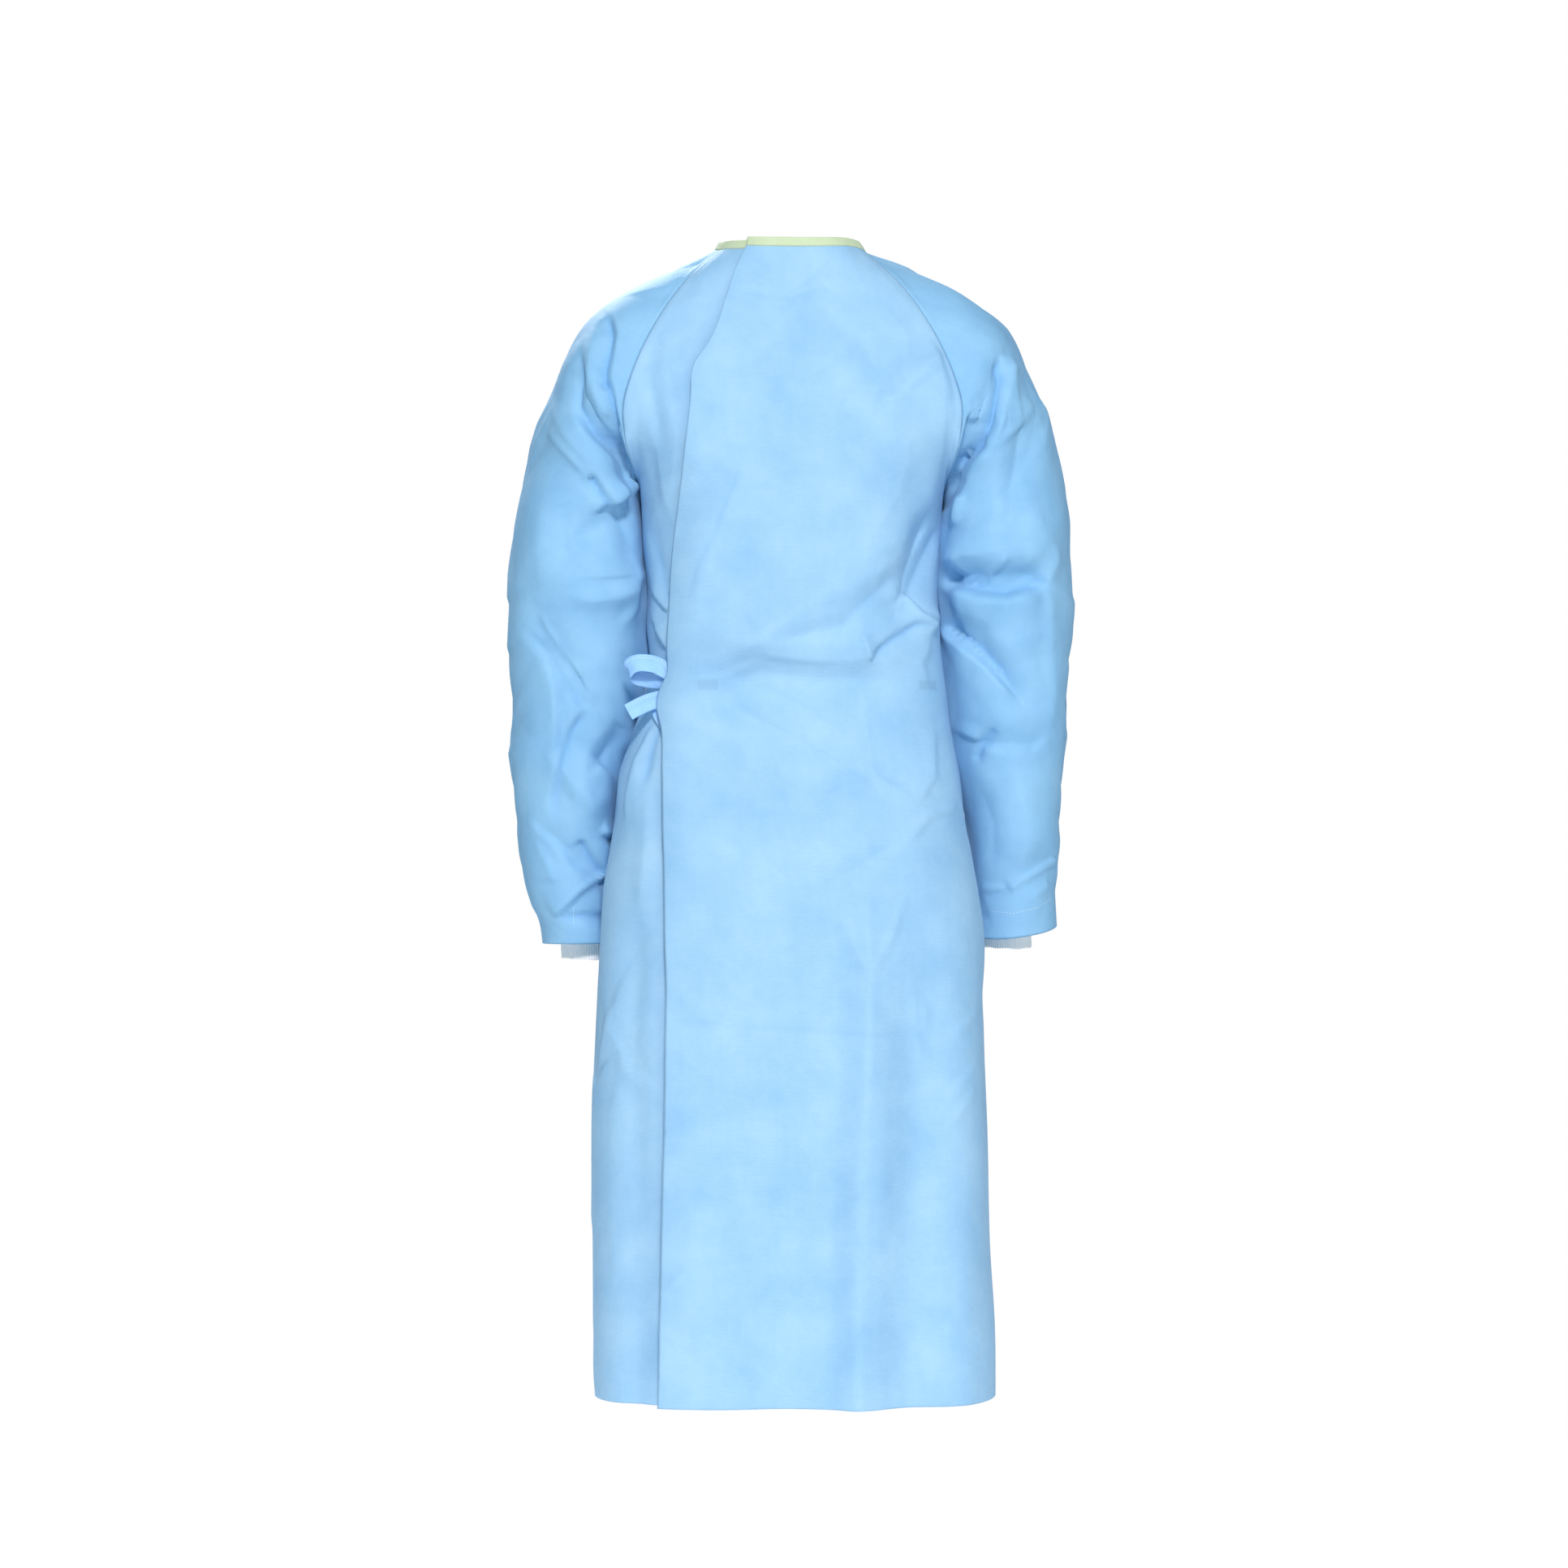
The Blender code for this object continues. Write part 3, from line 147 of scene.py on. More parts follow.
Sleeve = namedtuple("Sleeve", "inner_x inner_z outer_x outer_z middle_y back front")
SLEEVES = {
    "left": [
        Sleeve(0.1480, -0.250, 0.2620, -0.208, 0.000, 0.088, 0.082),
        Sleeve(0.1500, -0.300, 0.2775, -0.272, 0.001, 0.087, 0.086),
        Sleeve(0.1465, -0.340, 0.2825, -0.320, 0.004, 0.086, 0.086),
        Sleeve(0.1465, -0.384, 0.2835, -0.370, 0.008, 0.084, 0.085),
        Sleeve(0.1445, -0.415, 0.2835, -0.404, 0.012, 0.082, 0.084),
        Sleeve(0.1480, -0.446, 0.2835, -0.438, 0.018, 0.080, 0.083),
        Sleeve(0.1585, -0.486, 0.2825, -0.480, 0.026, 0.078, 0.082),
        Sleeve(0.1700, -0.528, 0.2825, -0.524, 0.036, 0.075, 0.079),
        Sleeve(0.1755, -0.585, 0.2790, -0.585, 0.052, 0.070, 0.074),
        Sleeve(0.1805, -0.640, 0.2695, -0.640, 0.066, 0.062, 0.067),
        Sleeve(0.1815, -0.682, 0.2545, -0.684, 0.076, 0.056, 0.060),
        Sleeve(0.1815, -0.702, 0.2527, -0.703, 0.078, 0.054, 0.058),
    ],
    "right": [
        Sleeve(0.1530, -0.250, 0.2710, -0.208, 0.000, 0.088, 0.082),
        Sleeve(0.1552, -0.300, 0.2830, -0.272, 0.001, 0.087, 0.086),
        Sleeve(0.1525, -0.340, 0.2857, -0.320, 0.004, 0.086, 0.086),
        Sleeve(0.1545, -0.384, 0.2852, -0.370, 0.008, 0.084, 0.085),
        Sleeve(0.1562, -0.415, 0.2845, -0.404, 0.012, 0.082, 0.084),
        Sleeve(0.1595, -0.446, 0.2830, -0.438, 0.018, 0.080, 0.083),
        Sleeve(0.1648, -0.486, 0.2815, -0.480, 0.026, 0.078, 0.081),
        Sleeve(0.1735, -0.528, 0.2800, -0.524, 0.035, 0.075, 0.078),
        Sleeve(0.1800, -0.585, 0.2755, -0.585, 0.049, 0.070, 0.074),
        Sleeve(0.1875, -0.640, 0.2715, -0.634, 0.063, 0.063, 0.067),
        Sleeve(0.1910, -0.680, 0.2718, -0.672, 0.072, 0.058, 0.062),
        Sleeve(0.1920, -0.694, 0.2720, -0.684, 0.074, 0.057, 0.060),
    ],
}
SLEEVE_END_SAG = {"left": 0.0, "right": 0.007}

Cuff = namedtuple("Cuff", "x y half_x half_y")
CUFFS = {"left": Cuff(0.2090, 0.078, 0.0255, 0.031), "right": Cuff(0.2220, 0.074, 0.0255, 0.031)}

Edge = namedtuple("Edge", "z x")
FLAP_EDGE = [
    Edge(0.000, -0.0390), Edge(-0.030, -0.0535), Edge(-0.061, -0.0639), Edge(-0.087, -0.0718),
    Edge(-0.109, -0.0822), Edge(-0.122, -0.0918), Edge(-0.165, -0.0974), Edge(-0.235, -0.1061),
    Edge(-0.299, -0.1133), Edge(-0.340, -0.1173), Edge(-0.404, -0.1213), Edge(-0.430, -0.1208),
    Edge(-0.453, -0.1305), Edge(-0.464, -0.1313), Edge(-0.484, -0.1272), Edge(-0.522, -0.1256),
    Edge(-0.650, -0.1229), Edge(-0.770, -0.1213), Edge(-0.890, -0.1229), Edge(-1.000, -0.1253),
    Edge(-1.080, -0.1277), Edge(-1.153, -0.1293),
]

Stand = namedtuple("Stand", "z lift")
FLAP_STAND = [
    Stand(0.000, 0.0), Stand(-0.030, 0.0010), Stand(-0.120, 0.0060), Stand(-0.300, 0.0090),
    Stand(-0.400, 0.0120), Stand(-0.460, 0.0120), Stand(-0.560, 0.0080), Stand(-0.800, 0.0090),
    Stand(-1.153, 0.0110),
]
FLAP_STAND_WIDTH = 0.075

Strip = namedtuple("Strip", "x y z wide_x wide_y wide_z")
TIES = {
    "tie_loop": [
        Strip(-0.1180, -0.0853, -0.4350, 0.10, -0.1, 1.0),
        Strip(-0.1295, -0.0850, -0.4235, -0.10, 0.0, 1.0),
        Strip(-0.1433, -0.0885, -0.4200, -0.20, 0.0, 1.0),
        Strip(-0.1545, -0.0865, -0.4212, -0.40, 0.1, 1.0),
        Strip(-0.1600, -0.0790, -0.4270, -0.50, 0.2, 0.9),
        Strip(-0.1530, -0.0715, -0.4325, -0.35, 0.1, 1.0),
        Strip(-0.1400, -0.0705, -0.4360, 0.00, 0.0, 1.0),
        Strip(-0.1290, -0.0745, -0.4370, 0.00, 0.0, 1.0),
        Strip(-0.1192, -0.0820, -0.4385, 0.00, 0.0, 1.0),
    ],
    "tie_tail_upper": [
        Strip(-0.1184, -0.0880, -0.4520, 0.00, -0.1, 1.0),
        Strip(-0.1290, -0.0796, -0.4558, -0.10, 0.0, 1.0),
        Strip(-0.1400, -0.0800, -0.4590, -0.35, 0.0, 0.9),
        Strip(-0.1500, -0.0830, -0.4635, -0.48, 0.0, 0.88),
        Strip(-0.1600, -0.0850, -0.4690, -0.48, 0.0, 0.88),
    ],
    "tie_tail_lower": [
        Strip(-0.1115, -0.0880, -0.4525, 0.85, -0.55, 0.0),
        Strip(-0.1180, -0.0845, -0.4625, 0.80, -0.65, -0.3),
        Strip(-0.1270, -0.0783, -0.4695, 0.65, -0.60, -0.6),
        Strip(-0.1345, -0.0752, -0.4745, 0.45, -0.50, -0.8),
    ],
}

# The largest folds, which the solids have too, by the start of their panels' names and the side that they are
# seen from: ends as seen from there, height and spread.
Fold = namedtuple("Fold", "x0 z0 x1 z1 height spread")
FOLD_ROWS = {
    ("back_panel", "back"): [
        (-0.105, -0.395, 0.145, -0.405, 0.0080, 0.021),
        (-0.115, -0.428, 0.150, -0.440, -0.0045, 0.021),
        (-0.120, -0.440, 0.140, -0.300, 0.0065, 0.020),
        (-0.110, -0.435, 0.130, -0.560, -0.0080, 0.020),
        (0.160, -0.255, 0.095, -0.390, -0.0150, 0.018),
        (0.090, -0.342, 0.165, -0.386, 0.0080, 0.015),
        (-0.030, -0.190, -0.110, -0.385, 0.0060, 0.018),
        (0.165, -0.115, 0.075, -0.185, 0.0070, 0.020),
        (0.085, -0.560, 0.060, -1.400, 0.0070, 0.022),
        (0.130, -0.640, 0.112, -1.400, -0.0080, 0.026),
        (0.172, -0.600, 0.164, -1.400, 0.0070, 0.024),
        (0.020, -0.760, -0.020, -1.400, -0.0060, 0.034),
        (-0.095, -0.820, -0.050, -1.400, 0.0060, 0.030),
        (-0.158, -0.500, -0.156, -1.400, -0.0080, 0.016),
    ],
    ("front_panel", "front"): [
        (-0.080, -0.480, -0.100, -1.400, -0.0120, 0.026),
        (-0.025, -0.440, -0.036, -1.400, 0.0110, 0.030),
        (0.035, -0.480, 0.055, -1.400, -0.0110, 0.026),
        (0.095, -0.460, 0.125, -1.400, 0.0100, 0.028),
        (-0.145, -0.500, -0.163, -1.400, 0.0070, 0.024),
        (-0.140, -0.405, 0.110, -0.378, 0.0100, 0.020),
        (-0.110, -0.450, 0.145, -0.424, -0.0080, 0.018),
        (-0.150, -0.190, -0.005, -0.360, 0.0090, 0.020),
        (0.150, -0.180, 0.020, -0.350, 0.0080, 0.020),
        (-0.150, -0.420, 0.020, -0.580, 0.0060, 0.020),
    ],
    ("sleeve_left", "back"): [
        (-0.225, -0.120, -0.135, -0.270, -0.0085, 0.010),
        (-0.250, -0.150, -0.140, -0.310, 0.0070, 0.019),
        (-0.220, -0.300, -0.130, -0.255, -0.0090, 0.014),
        (-0.260, -0.340, -0.100, -0.328, 0.0100, 0.018),
        (-0.262, -0.350, -0.180, -0.480, -0.0100, 0.016),
        (-0.250, -0.505, -0.180, -0.575, 0.0070, 0.018),
        (-0.262, -0.575, -0.175, -0.655, -0.0090, 0.017),
    ],
    ("sleeve_right", "back"): [
        (0.135, -0.290, 0.228, -0.085, -0.0085, 0.011),
        (0.175, -0.235, 0.270, -0.150, 0.0050, 0.019),
        (0.110, -0.334, 0.275, -0.338, -0.0100, 0.013),
        (0.130, -0.322, 0.275, -0.295, 0.0090, 0.017),
        (0.135, -0.360, 0.255, -0.480, -0.0100, 0.016),
        (0.160, -0.500, 0.280, -0.500, -0.0070, 0.017),
        (0.185, -0.665, 0.290, -0.600, -0.0080, 0.015),
    ],
    ("sleeve_left", "front"): [
        (-0.270, -0.345, -0.140, -0.395, -0.0130, 0.017),
        (-0.265, -0.432, -0.145, -0.398, 0.0090, 0.018),
        (-0.255, -0.150, -0.145, -0.275, -0.0110, 0.017),
        (-0.270, -0.508, -0.170, -0.567, -0.0090, 0.018),
    ],
    ("sleeve_right", "front"): [
        (0.270, -0.350, 0.140, -0.388, -0.0130, 0.017),
        (0.265, -0.436, 0.148, -0.400, 0.0090, 0.018),
        (0.255, -0.155, 0.145, -0.270, -0.0110, 0.017),
        (0.275, -0.512, 0.175, -0.562, -0.0090, 0.018),
    ],
}

# ---------------------------------------------------------------- the finer creases

# A crease is a crest line, in mm, as seen along Y from behind or before or along X from the left or right. It
# stands height mm out (less than 0: in) and falls away over one width on the left of its path and another on
# the right, so a narrow side is steep, as papery cloth folds. ends says over what share of the path it fades
# in and out. A row is height, left, right, ends and then the path's points. Rows go by panel and side.
Crease = namedtuple("Crease", "height left right ends path")
CREASE_ROWS = {
    # outer back panel
    ("back_panel_right", "back"): [
        # the pull from the bow across the waist
        (4.0, 34, 26, (0.3, 0.25), (-80, -430), (-38, -402), (2, -374), (48, -338), (84, -312), (140, -280)),
        (4.5, 20, 24, (0.3, 0.1), (-36, -408), (-10, -413), (22, -416), (58, -417), (82, -412)),
        (-4.0, 14, 22, (0.3, 0.2), (-26, -404), (10, -394), (44, -386), (70, -380)),
        (-4.5, 45, 26, (0.3, 0.3), (-70, -430), (-22, -447), (18, -467), (56, -492), (80, -516), (104, -545)),
        (3.5, 24, 34, (0.3, 0.3), (-96, -452), (-60, -486), (-30, -530), (-20, -580)),
        (2.0, 6, 18, (0.2, 0.3), (-96, -440), (-64, -434), (-30, -420)),
        # and the facets that it draws at the right of the waist
        (-5.0, 30, 12, (0.25, 0.1), (151, -280), (134, -316), (118, -350), (110, -372)),
        (8.0, 4, 26, (0.1, 0.2), (112, -352), (128, -370), (150, -384)),
        (-5.0, 5, 16, (0.1, 0.3), (81, -415), (101, -398), (125, -382), (142, -380)),
        (4.0, 12, 5, (0.2, 0.1), (70, -392), (81, -416)),
        (3.0, 8, 18, (0.3, 0.3), (140, -392), (128, -420), (136, -446)),
        (-3.0, 10, 14, (0.2, 0.4), (110, -330), (84, -352), (62, -372), (48, -392)),
        # thin lines over the hips
        (1.4, 8, 5, (0.3, 0.1), (71, -437), (76, -488), (82, -530), (103, -542)),
        (1.6, 14, 6, (0.2, 0.2), (81, -534), (52, -546), (28, -556)),
        (1.8, 8, 14, (0.1, 0.3), (81, -534), (106, -546), (124, -556)),
        (2.4, 6, 16, (0.2, 0.2), (142, -484), (143, -533), (126, -558)),
        (2.6, 12, 6, (0.3, 0.1), (108, -600), (120, -592), (138, -572), (168, -563)),
        (-2.4, 16, 10, (0.3, 0.3), (108, -594), (62, -622), (30, -640)),
        # where the cloth was folded to be packed
        (1.0, 7, 5, (0.15, 0.15), (40, -160), (100, -160), (166, -157)),
        (1.1, 8, 5, (0.1, 0.3), (-121, -567), (-60, -569), (26, -565)),
        (-1.5, 8, 6, (0.05, 0.1), (-121, -772), (-49, -778), (75, -786), (149, -788)),
        (-1.0, 10, 6, (0.2, 0.2), (-98, -1010), (-34, -1005)),
        (-1.0, 8, 6, (0.2, 0.2), (28, -991), (100, -989)),
        (2.4, 12, 30, (0.12, 0.0), (75, -647), (77, -729), (74, -821), (67, -913), (66, -967), (63, -1157)),
        (1.8, 8, 6, (0.2, 0.1), (114, -647), (100, -688), (79, -726)),
        (1.3, 6, 10, (0.3, 0.1), (43, -657), (75, -726)),
        (-1.3, 12, 9, (0.3, 0.3), (34, -729), (29, -777)),
        (2.0, 12, 9, (0.3, 0.3), (120, -735), (124, -782), (131, -830)),
        (1.6, 8, 8, (0.3, 0.3), (133, -753), (133, -790)),
        (1.8, 12, 5, (0.2, 0.3), (190, -763), (157, -790)),
        (2.0, 14, 6, (0.1, 0.3), (190, -814), (153, -853)),
        (1.8, 10, 6, (0.1, 0.3), (186, -840), (153, -885)),
        (1.4, 7, 10, (0.05, 0.2), (-126, -1075), (-81, -1100), (-34, -1125), (11, -1150)),
        (1.3, 6, 10, (0.1, 0.3), (-110, -805), (-75, -826), (-49, -839), (-14, -861)),
        (1.4, 8, 5, (0.05, 0.3), (-121, -883), (-97, -873)),
        (1.4, 8, 5, (0.05, 0.3), (-126, -1043), (-99, -1012)),
        (1.3, 6, 6, (0.1, 0.3), (199, -1075), (185, -1092)),
        (2.0, 26, 26, (0.3, 0.3), (-70, -590), (-64, -660), (-78, -740)),
        (-2.4, 30, 26, (0.3, 0.3), (-12, -590), (0, -680), (-12, -760)),
        (-2.0, 22, 22, (0.3, 0.3), (-60, -880), (-40, -980), (-52, -1060)),
        (1.8, 20, 24, (0.3, 0.3), (16, -860), (22, -940), (10, -1020)),
        (8.0, 95, 30, (0.3, 0.0), (78, -640), (79, -800), (72, -1000), (68, -1157)),
        # upper back
        (-1.6, 14, 7, (0.1, 0.2), (40, -20), (8, -50), (-4, -60)),
        (-1.6, 6, 16, (0.2, 0.3), (-54, -52), (-10, -58), (40, -48)),
        (-2.2, 8, 20, (0.15, 0.2), (-44, -222), (-60, -255), (-78, -301), (-94, -332), (-103, -368)),
        (4.2, 26, 10, (0.25, 0.1), (111, -152), (132, -132), (154, -112)),
        (4.0, 22, 32, (0.25, 0.4), (146, -116), (152, -150), (152, -180), (146, -225), (136, -275),
         (124, -318)),
        (2.6, 14, 18, (0.3, 0.2), (96, -70), (116, -100), (112, -148)),
        (-2.4, 22, 18, (0.3, 0.3), (60, -90), (86, -130), (80, -190)),
        (2.4, 20, 22, (0.3, 0.3), (120, -190), (110, -250), (70, -310)),
        (-2.4, 18, 22, (0.3, 0.3), (-30, -80), (-64, -130), (-82, -220)),
        (1.8, 30, 26, (0.3, 0.3), (0, -110), (-14, -200), (-40, -300)),
        (-1.6, 26, 30, (0.3, 0.3), (44, -200), (30, -270), (0, -340)),
    ],
    # inner back panel, on the strip that shows
    ("back_panel_left", "back"): [
        (6.0, 20, 4, (0.05, 0.05), (-148, -332), (-140, -341), (-118, -368)),
        (5.0, 16, 4, (0.05, 0.05), (-150, -352), (-143, -360), (-118, -407)),
        (-3.0, 16, 8, (0.2, 0.1), (-142, -278), (-130, -322), (-119, -362)),
        (2.4, 12, 14, (0.2, 0.2), (-126, -90), (-120, -140), (-112, -200), (-118, -260)),
        (-2.4, 12, 12, (0.2, 0.3), (-140, -130), (-130, -190), (-136, -250)),
        (1.8, 10, 8, (0.2, 0.3), (-138, -180), (-128, -230), (-112, -292)),
        (6.0, 22, 5, (0.1, 0.3), (-134, -482), (-150, -517), (-160, -557), (-163, -580)),
        (-5.0, 7, 14, (0.1, 0.3), (-128, -480), (-138, -510), (-146, -545)),
        (3.0, 14, 14, (0.2, 0.3), (-140, -540), (-142, -600), (-150, -680)),
        (1.8, 8, 12, (0.2, 0.2), (-188, -745), (-178, -786), (-163, -821), (-141, -851)),
        (1.4, 7, 9, (0.2, 0.1), (-157, -822), (-123, -855)),
        (2.0, 16, 18, (0.3, 0.3), (-160, -900), (-150, -1000), (-158, -1120)),
        (-9.0, 30, 38, (0.15, 0.0), (-120, -500), (-121, -650), (-121, -770), (-123, -890), (-125, -1000),
         (-127, -1157)),
    ],
    # left sleeve, behind
    ("sleeve_left", "back"): [
        (-6.0, 6, 18, (0.15, 0.1), (-182, -74), (-177, -93), (-182, -134), (-182, -152)),
        (-7.5, 5, 12, (0.1, 0.05), (-181, -136), (-171, -181), (-162, -202), (-155, -217), (-147, -240),
         (-141, -258)),
        (3.5, 6, 9, (0.1, 0.2), (-181, -136), (-177, -160), (-166, -190)),
        (-7.5, 10, 26, (0.2, 0.05), (-210, -103), (-209, -166), (-190, -190), (-177, -202), (-162, -217),
         (-148, -240)),
        (5.0, 7, 30, (0.2, 0.1), (-222, -170), (-196, -200), (-168, -224), (-150, -256)),
        (3.0, 8, 14, (0.3, 0.2), (-196, -140), (-190, -158), (-178, -178)),
        (1.8, 6, 5, (0.1, 0.3), (-244, -186), (-230, -204), (-206, -230), (-196, -246)),
        (-6.0, 7, 14, (0.1, 0.0), (-198, -236), (-181, -262)),
        (8.5, 20, 5, (0.0, 0.0), (-181, -263), (-168, -254), (-155, -243)),
        (6.0, 5, 16, (0.0, 0.1), (-155, -243), (-151, -256), (-144, -280)),
        (-4.0, 12, 18, (0.1, 0.2), (-172, -266), (-160, -290), (-150, -318)),
        (-3.0, 28, 16, (0.4, 0.05), (-225, -337), (-178, -339), (-146, -336)),
        (6.5, 10, 26, (0.3, 0.02), (-218, -358), (-176, -352), (-140, -341)),
        (4.0, 14, 8, (0.02, 0.3), (-140, -340), (-154, -361), (-168, -384)),
        (4.5, 26, 7, (0.15, 0.2), (-248, -366), (-237, -389), (-221, -412), (-206, -432), (-196, -462)),
        (-2.4, 6, 8, (0.2, 0.1), (-263, -386), (-244, -406), (-234, -424), (-223, -441), (-201, -464)),
        (2.2, 5, 14, (0.1, 0.1), (-243, -408), (-236, -447), (-232, -509)),
        (-2.2, 10, 5, (0.1, 0.1), (-226, -444), (-228, -478), (-232, -509)),
        (-5.0, 22, 7, (0.15, 0.2), (-200, -466), (-217, -489), (-231, -536), (-236, -557), (-235, -575)),
        (-6.0, 18, 16, (0.1, 0.05), (-190, -522), (-178, -508), (-160, -486)),
        (4.0, 6, 20, (0.1, 0.2), (-192, -520), (-178, -538), (-172, -560)),
        (3.0, 24, 20, (0.3, 0.3), (-204, -500), (-206, -540), (-196, -586)),
        (5.5, 14, 4, (0.1, 0.05), (-192, -586), (-182, -590), (-172, -588)),
        (6.0, 7, 24, (0.05, 0.1), (-177, -604), (-192, -631), (-214, -647), (-239, -672)),
        (-5.0, 7, 20, (0.2, 0.05), (-212, -596), (-204, -612), (-193, -630)),
        (1.8, 6, 10, (0.2, 0.3), (-267, -576), (-241, -600), (-224, -621), (-217, -635)),
        (1.6, 6, 8, (0.2, 0.3), (-258, -596), (-246, -616), (-236, -640)),
        (-3.0, 6, 12, (0.3, 0.1), (-232, -676), (-208, -674), (-186, -676)),
        (2.0, 24, 20, (0.3, 0.3), (-244, -250), (-250, -310), (-246, -360)),
        (-2.0, 20, 24, (0.3, 0.3), (-222, -260), (-226, -300), (-212, -330)),
    ],
    # the inner faces of both sleeves, which lean on the trunk
    ("sleeve_left", "right"): [
        (4.2, 22, 22, (0.2, 0.2), (-10, -290), (-8, -384), (0, -430), (8, -486), (18, -528), (34, -585)),
    ],
    ("sleeve_right", "left"): [
        (4.6, 22, 22, (0.2, 0.2), (-10, -255), (-8, -384), (0, -430), (8, -486), (18, -528), (34, -585)),
    ],
    # right sleeve, behind
    ("sleeve_right", "back"): [
        (-8.0, 14, 6, (0.12, 0.05), (209, -119), (206, -140), (199, -174), (192, -192), (182, -206),
         (166, -224), (154, -244)),
        (2.0, 5, 12, (0.1, 0.2), (209, -118), (220, -117), (228, -132)),
        (4.0, 18, 6, (0.1, 0.2), (172, -174), (182, -175), (193, -177)),
        (3.0, 6, 10, (0.1, 0.1), (200, -176), (211, -178), (206, -192), (190, -203)),
        (1.4, 5, 14, (0.1, 0.2), (222, -120), (225, -146), (231, -183)),
        (2.8, 8, 16, (0.05, 0.1), (246, -157), (234, -182), (217, -194), (194, -208)),
        (4.0, 26, 10, (0.2, 0.2), (200, -206), (178, -224), (164, -248), (158, -280)),
        (-5.0, 30, 18, (0.2, 0.2), (242, -164), (230, -206), (221, -246), (216, -295)),
        (-8.0, 9, 9, (0.1, 0.1), (155, -266), (164, -246), (172, -232)),
        (5.0, 16, 5, (0.05, 0.1), (156, -282), (166, -277), (173, -252)),
        (-7.5, 26, 10, (0.05, 0.15), (157, -332), (190, -343), (212, -345), (236, -338), (256, -340)),
        (6.0, 10, 30, (0.05, 0.2), (152, -344), (186, -358), (216, -360), (252, -352)),
        (2.4, 5, 7, (0.2, 0.1), (217, -312), (206, -326), (196, -338)),
        (3.0, 12, 12, (0.2, 0.05), (262, -300), (265, -318), (256, -340)),
        (2.2, 14, 10, (0.1, 0.2), (258, -342), (261, -394), (262, -440), (261, -492)),
        (6.5, 5, 28, (0.05, 0.2), (152, -380), (174, -404), (196, -424), (211, -443), (226, -459)),
        (-3.5, 22, 8, (0.1, 0.3), (160, -378), (182, -400), (204, -420), (222, -440)),
        (3.0, 10, 4, (0.05, 0.15), (166, -484), (180, -488), (192, -493)),
        (-2.6, 8, 6, (0.1, 0.1), (205, -484), (194, -504), (188, -516)),
        (2.6, 6, 16, (0.1, 0.1), (192, -504), (214, -509), (243, -510), (260, -494)),
        (-2.0, 16, 14, (0.3, 0.3), (190, -540), (204, -580), (206, -630)),
        (2.2, 20, 20, (0.3, 0.3), (230, -530), (238, -580), (236, -640)),
        (4.0, 14, 6, (0.1, 0.05), (222, -646), (252, -626), (266, -614)),
        (1.4, 5, 6, (0.1, 0.2), (196, -644), (224, -645)),
        (1.8, 5, 6, (0.3, 0.1), (244, -656), (262, -642)),
        (-3.0, 10, 5, (0.1, 0.1), (188, -652), (198, -679)),
    ],
    # outer faces of the sleeves
    ("sleeve_left", "left"): [
        (2.2, 24, 9, (0.2, 0.2), (-50, -150), (-20, -190), (10, -240), (16, -300)),
        (-2.0, 10, 22, (0.2, 0.2), (60, -180), (30, -230), (24, -290), (40, -340)),
        (1.8, 22, 8, (0.3, 0.2), (-60, -330), (-20, -352), (30, -350), (70, -330)),
        (-1.8, 8, 24, (0.3, 0.2), (-50, -400), (0, -410), (50, -396), (84, -370)),
        (1.8, 20, 9, (0.3, 0.2), (-40, -440), (0, -476), (40, -500), (70, -506)),
        (-1.8, 9, 18, (0.2, 0.2), (0, -520), (40, -548), (90, -560)),
        (1.6, 14, 7, (0.2, 0.2), (30, -580), (60, -610), (100, -640)),
    ],
    ("sleeve_right", "right"): [
        (2.2, 9, 24, (0.2, 0.2), (-50, -140), (-24, -190), (0, -240), (10, -300)),
        (-2.0, 22, 10, (0.2, 0.2), (64, -176), (34, -224), (30, -286), (44, -336)),
        (1.8, 8, 22, (0.3, 0.2), (-60, -340), (-16, -360), (34, -352), (72, -336)),
        (-1.8, 24, 8, (0.3, 0.2), (-46, -404), (4, -416), (54, -400), (86, -376)),
        (1.8, 9, 20, (0.3, 0.2), (-36, -446), (4, -480), (44, -500), (74, -508)),
        (-1.8, 18, 9, (0.2, 0.2), (6, -526), (46, -552), (92, -566)),
        (1.6, 7, 14, (0.2, 0.2), (34, -586), (64, -614), (104, -640)),
    ],
    # front
    ("front_panel", "front"): [
        (4.5, 24, 9, (0.2, 0.2), (-150, -190), (-110, -240), (-60, -290), (-10, -330)),
        (4.0, 9, 22, (0.2, 0.2), (146, -170), (110, -220), (70, -270), (30, -330)),
        (-4.5, 14, 26, (0.2, 0.2), (-130, -380), (-70, -392), (0, -398), (70, -388), (130, -372)),
        (5.0, 10, 20, (0.2, 0.2), (-136, -420), (-60, -424), (20, -416), (90, -412), (140, -418)),
        (-4.0, 20, 12, (0.2, 0.3), (-120, -440), (-80, -480), (-50, -540), (-40, -620)),
        (3.5, 10, 22, (0.2, 0.3), (120, -436), (96, -480), (80, -540), (84, -620)),
        (2.2, 12, 30, (0.15, 0.0), (-66, -620), (-70, -760), (-68, -900), (-72, -1157)),
        (2.2, 30, 12, (0.15, 0.0), (66, -640), (70, -780), (72, -920), (70, -1157)),
        (-1.4, 8, 6, (0.1, 0.1), (-180, -566), (-60, -570), (60, -568), (180, -564)),
        (-1.5, 8, 6, (0.1, 0.1), (-190, -786), (-60, -790), (60, -784), (190, -788)),
        (-1.3, 8, 6, (0.1, 0.1), (-190, -1002), (-60, -1008), (70, -1004), (196, -1000)),
        (1.2, 7, 6, (0.1, 0.1), (-120, -160), (0, -168), (120, -158)),
        (2.0, 8, 12, (0.2, 0.3), (-60, -90), (-20, -140), (-30, -210)),
        (-2.0, 12, 8, (0.2, 0.3), (50, -100), (30, -160), (44, -230)),
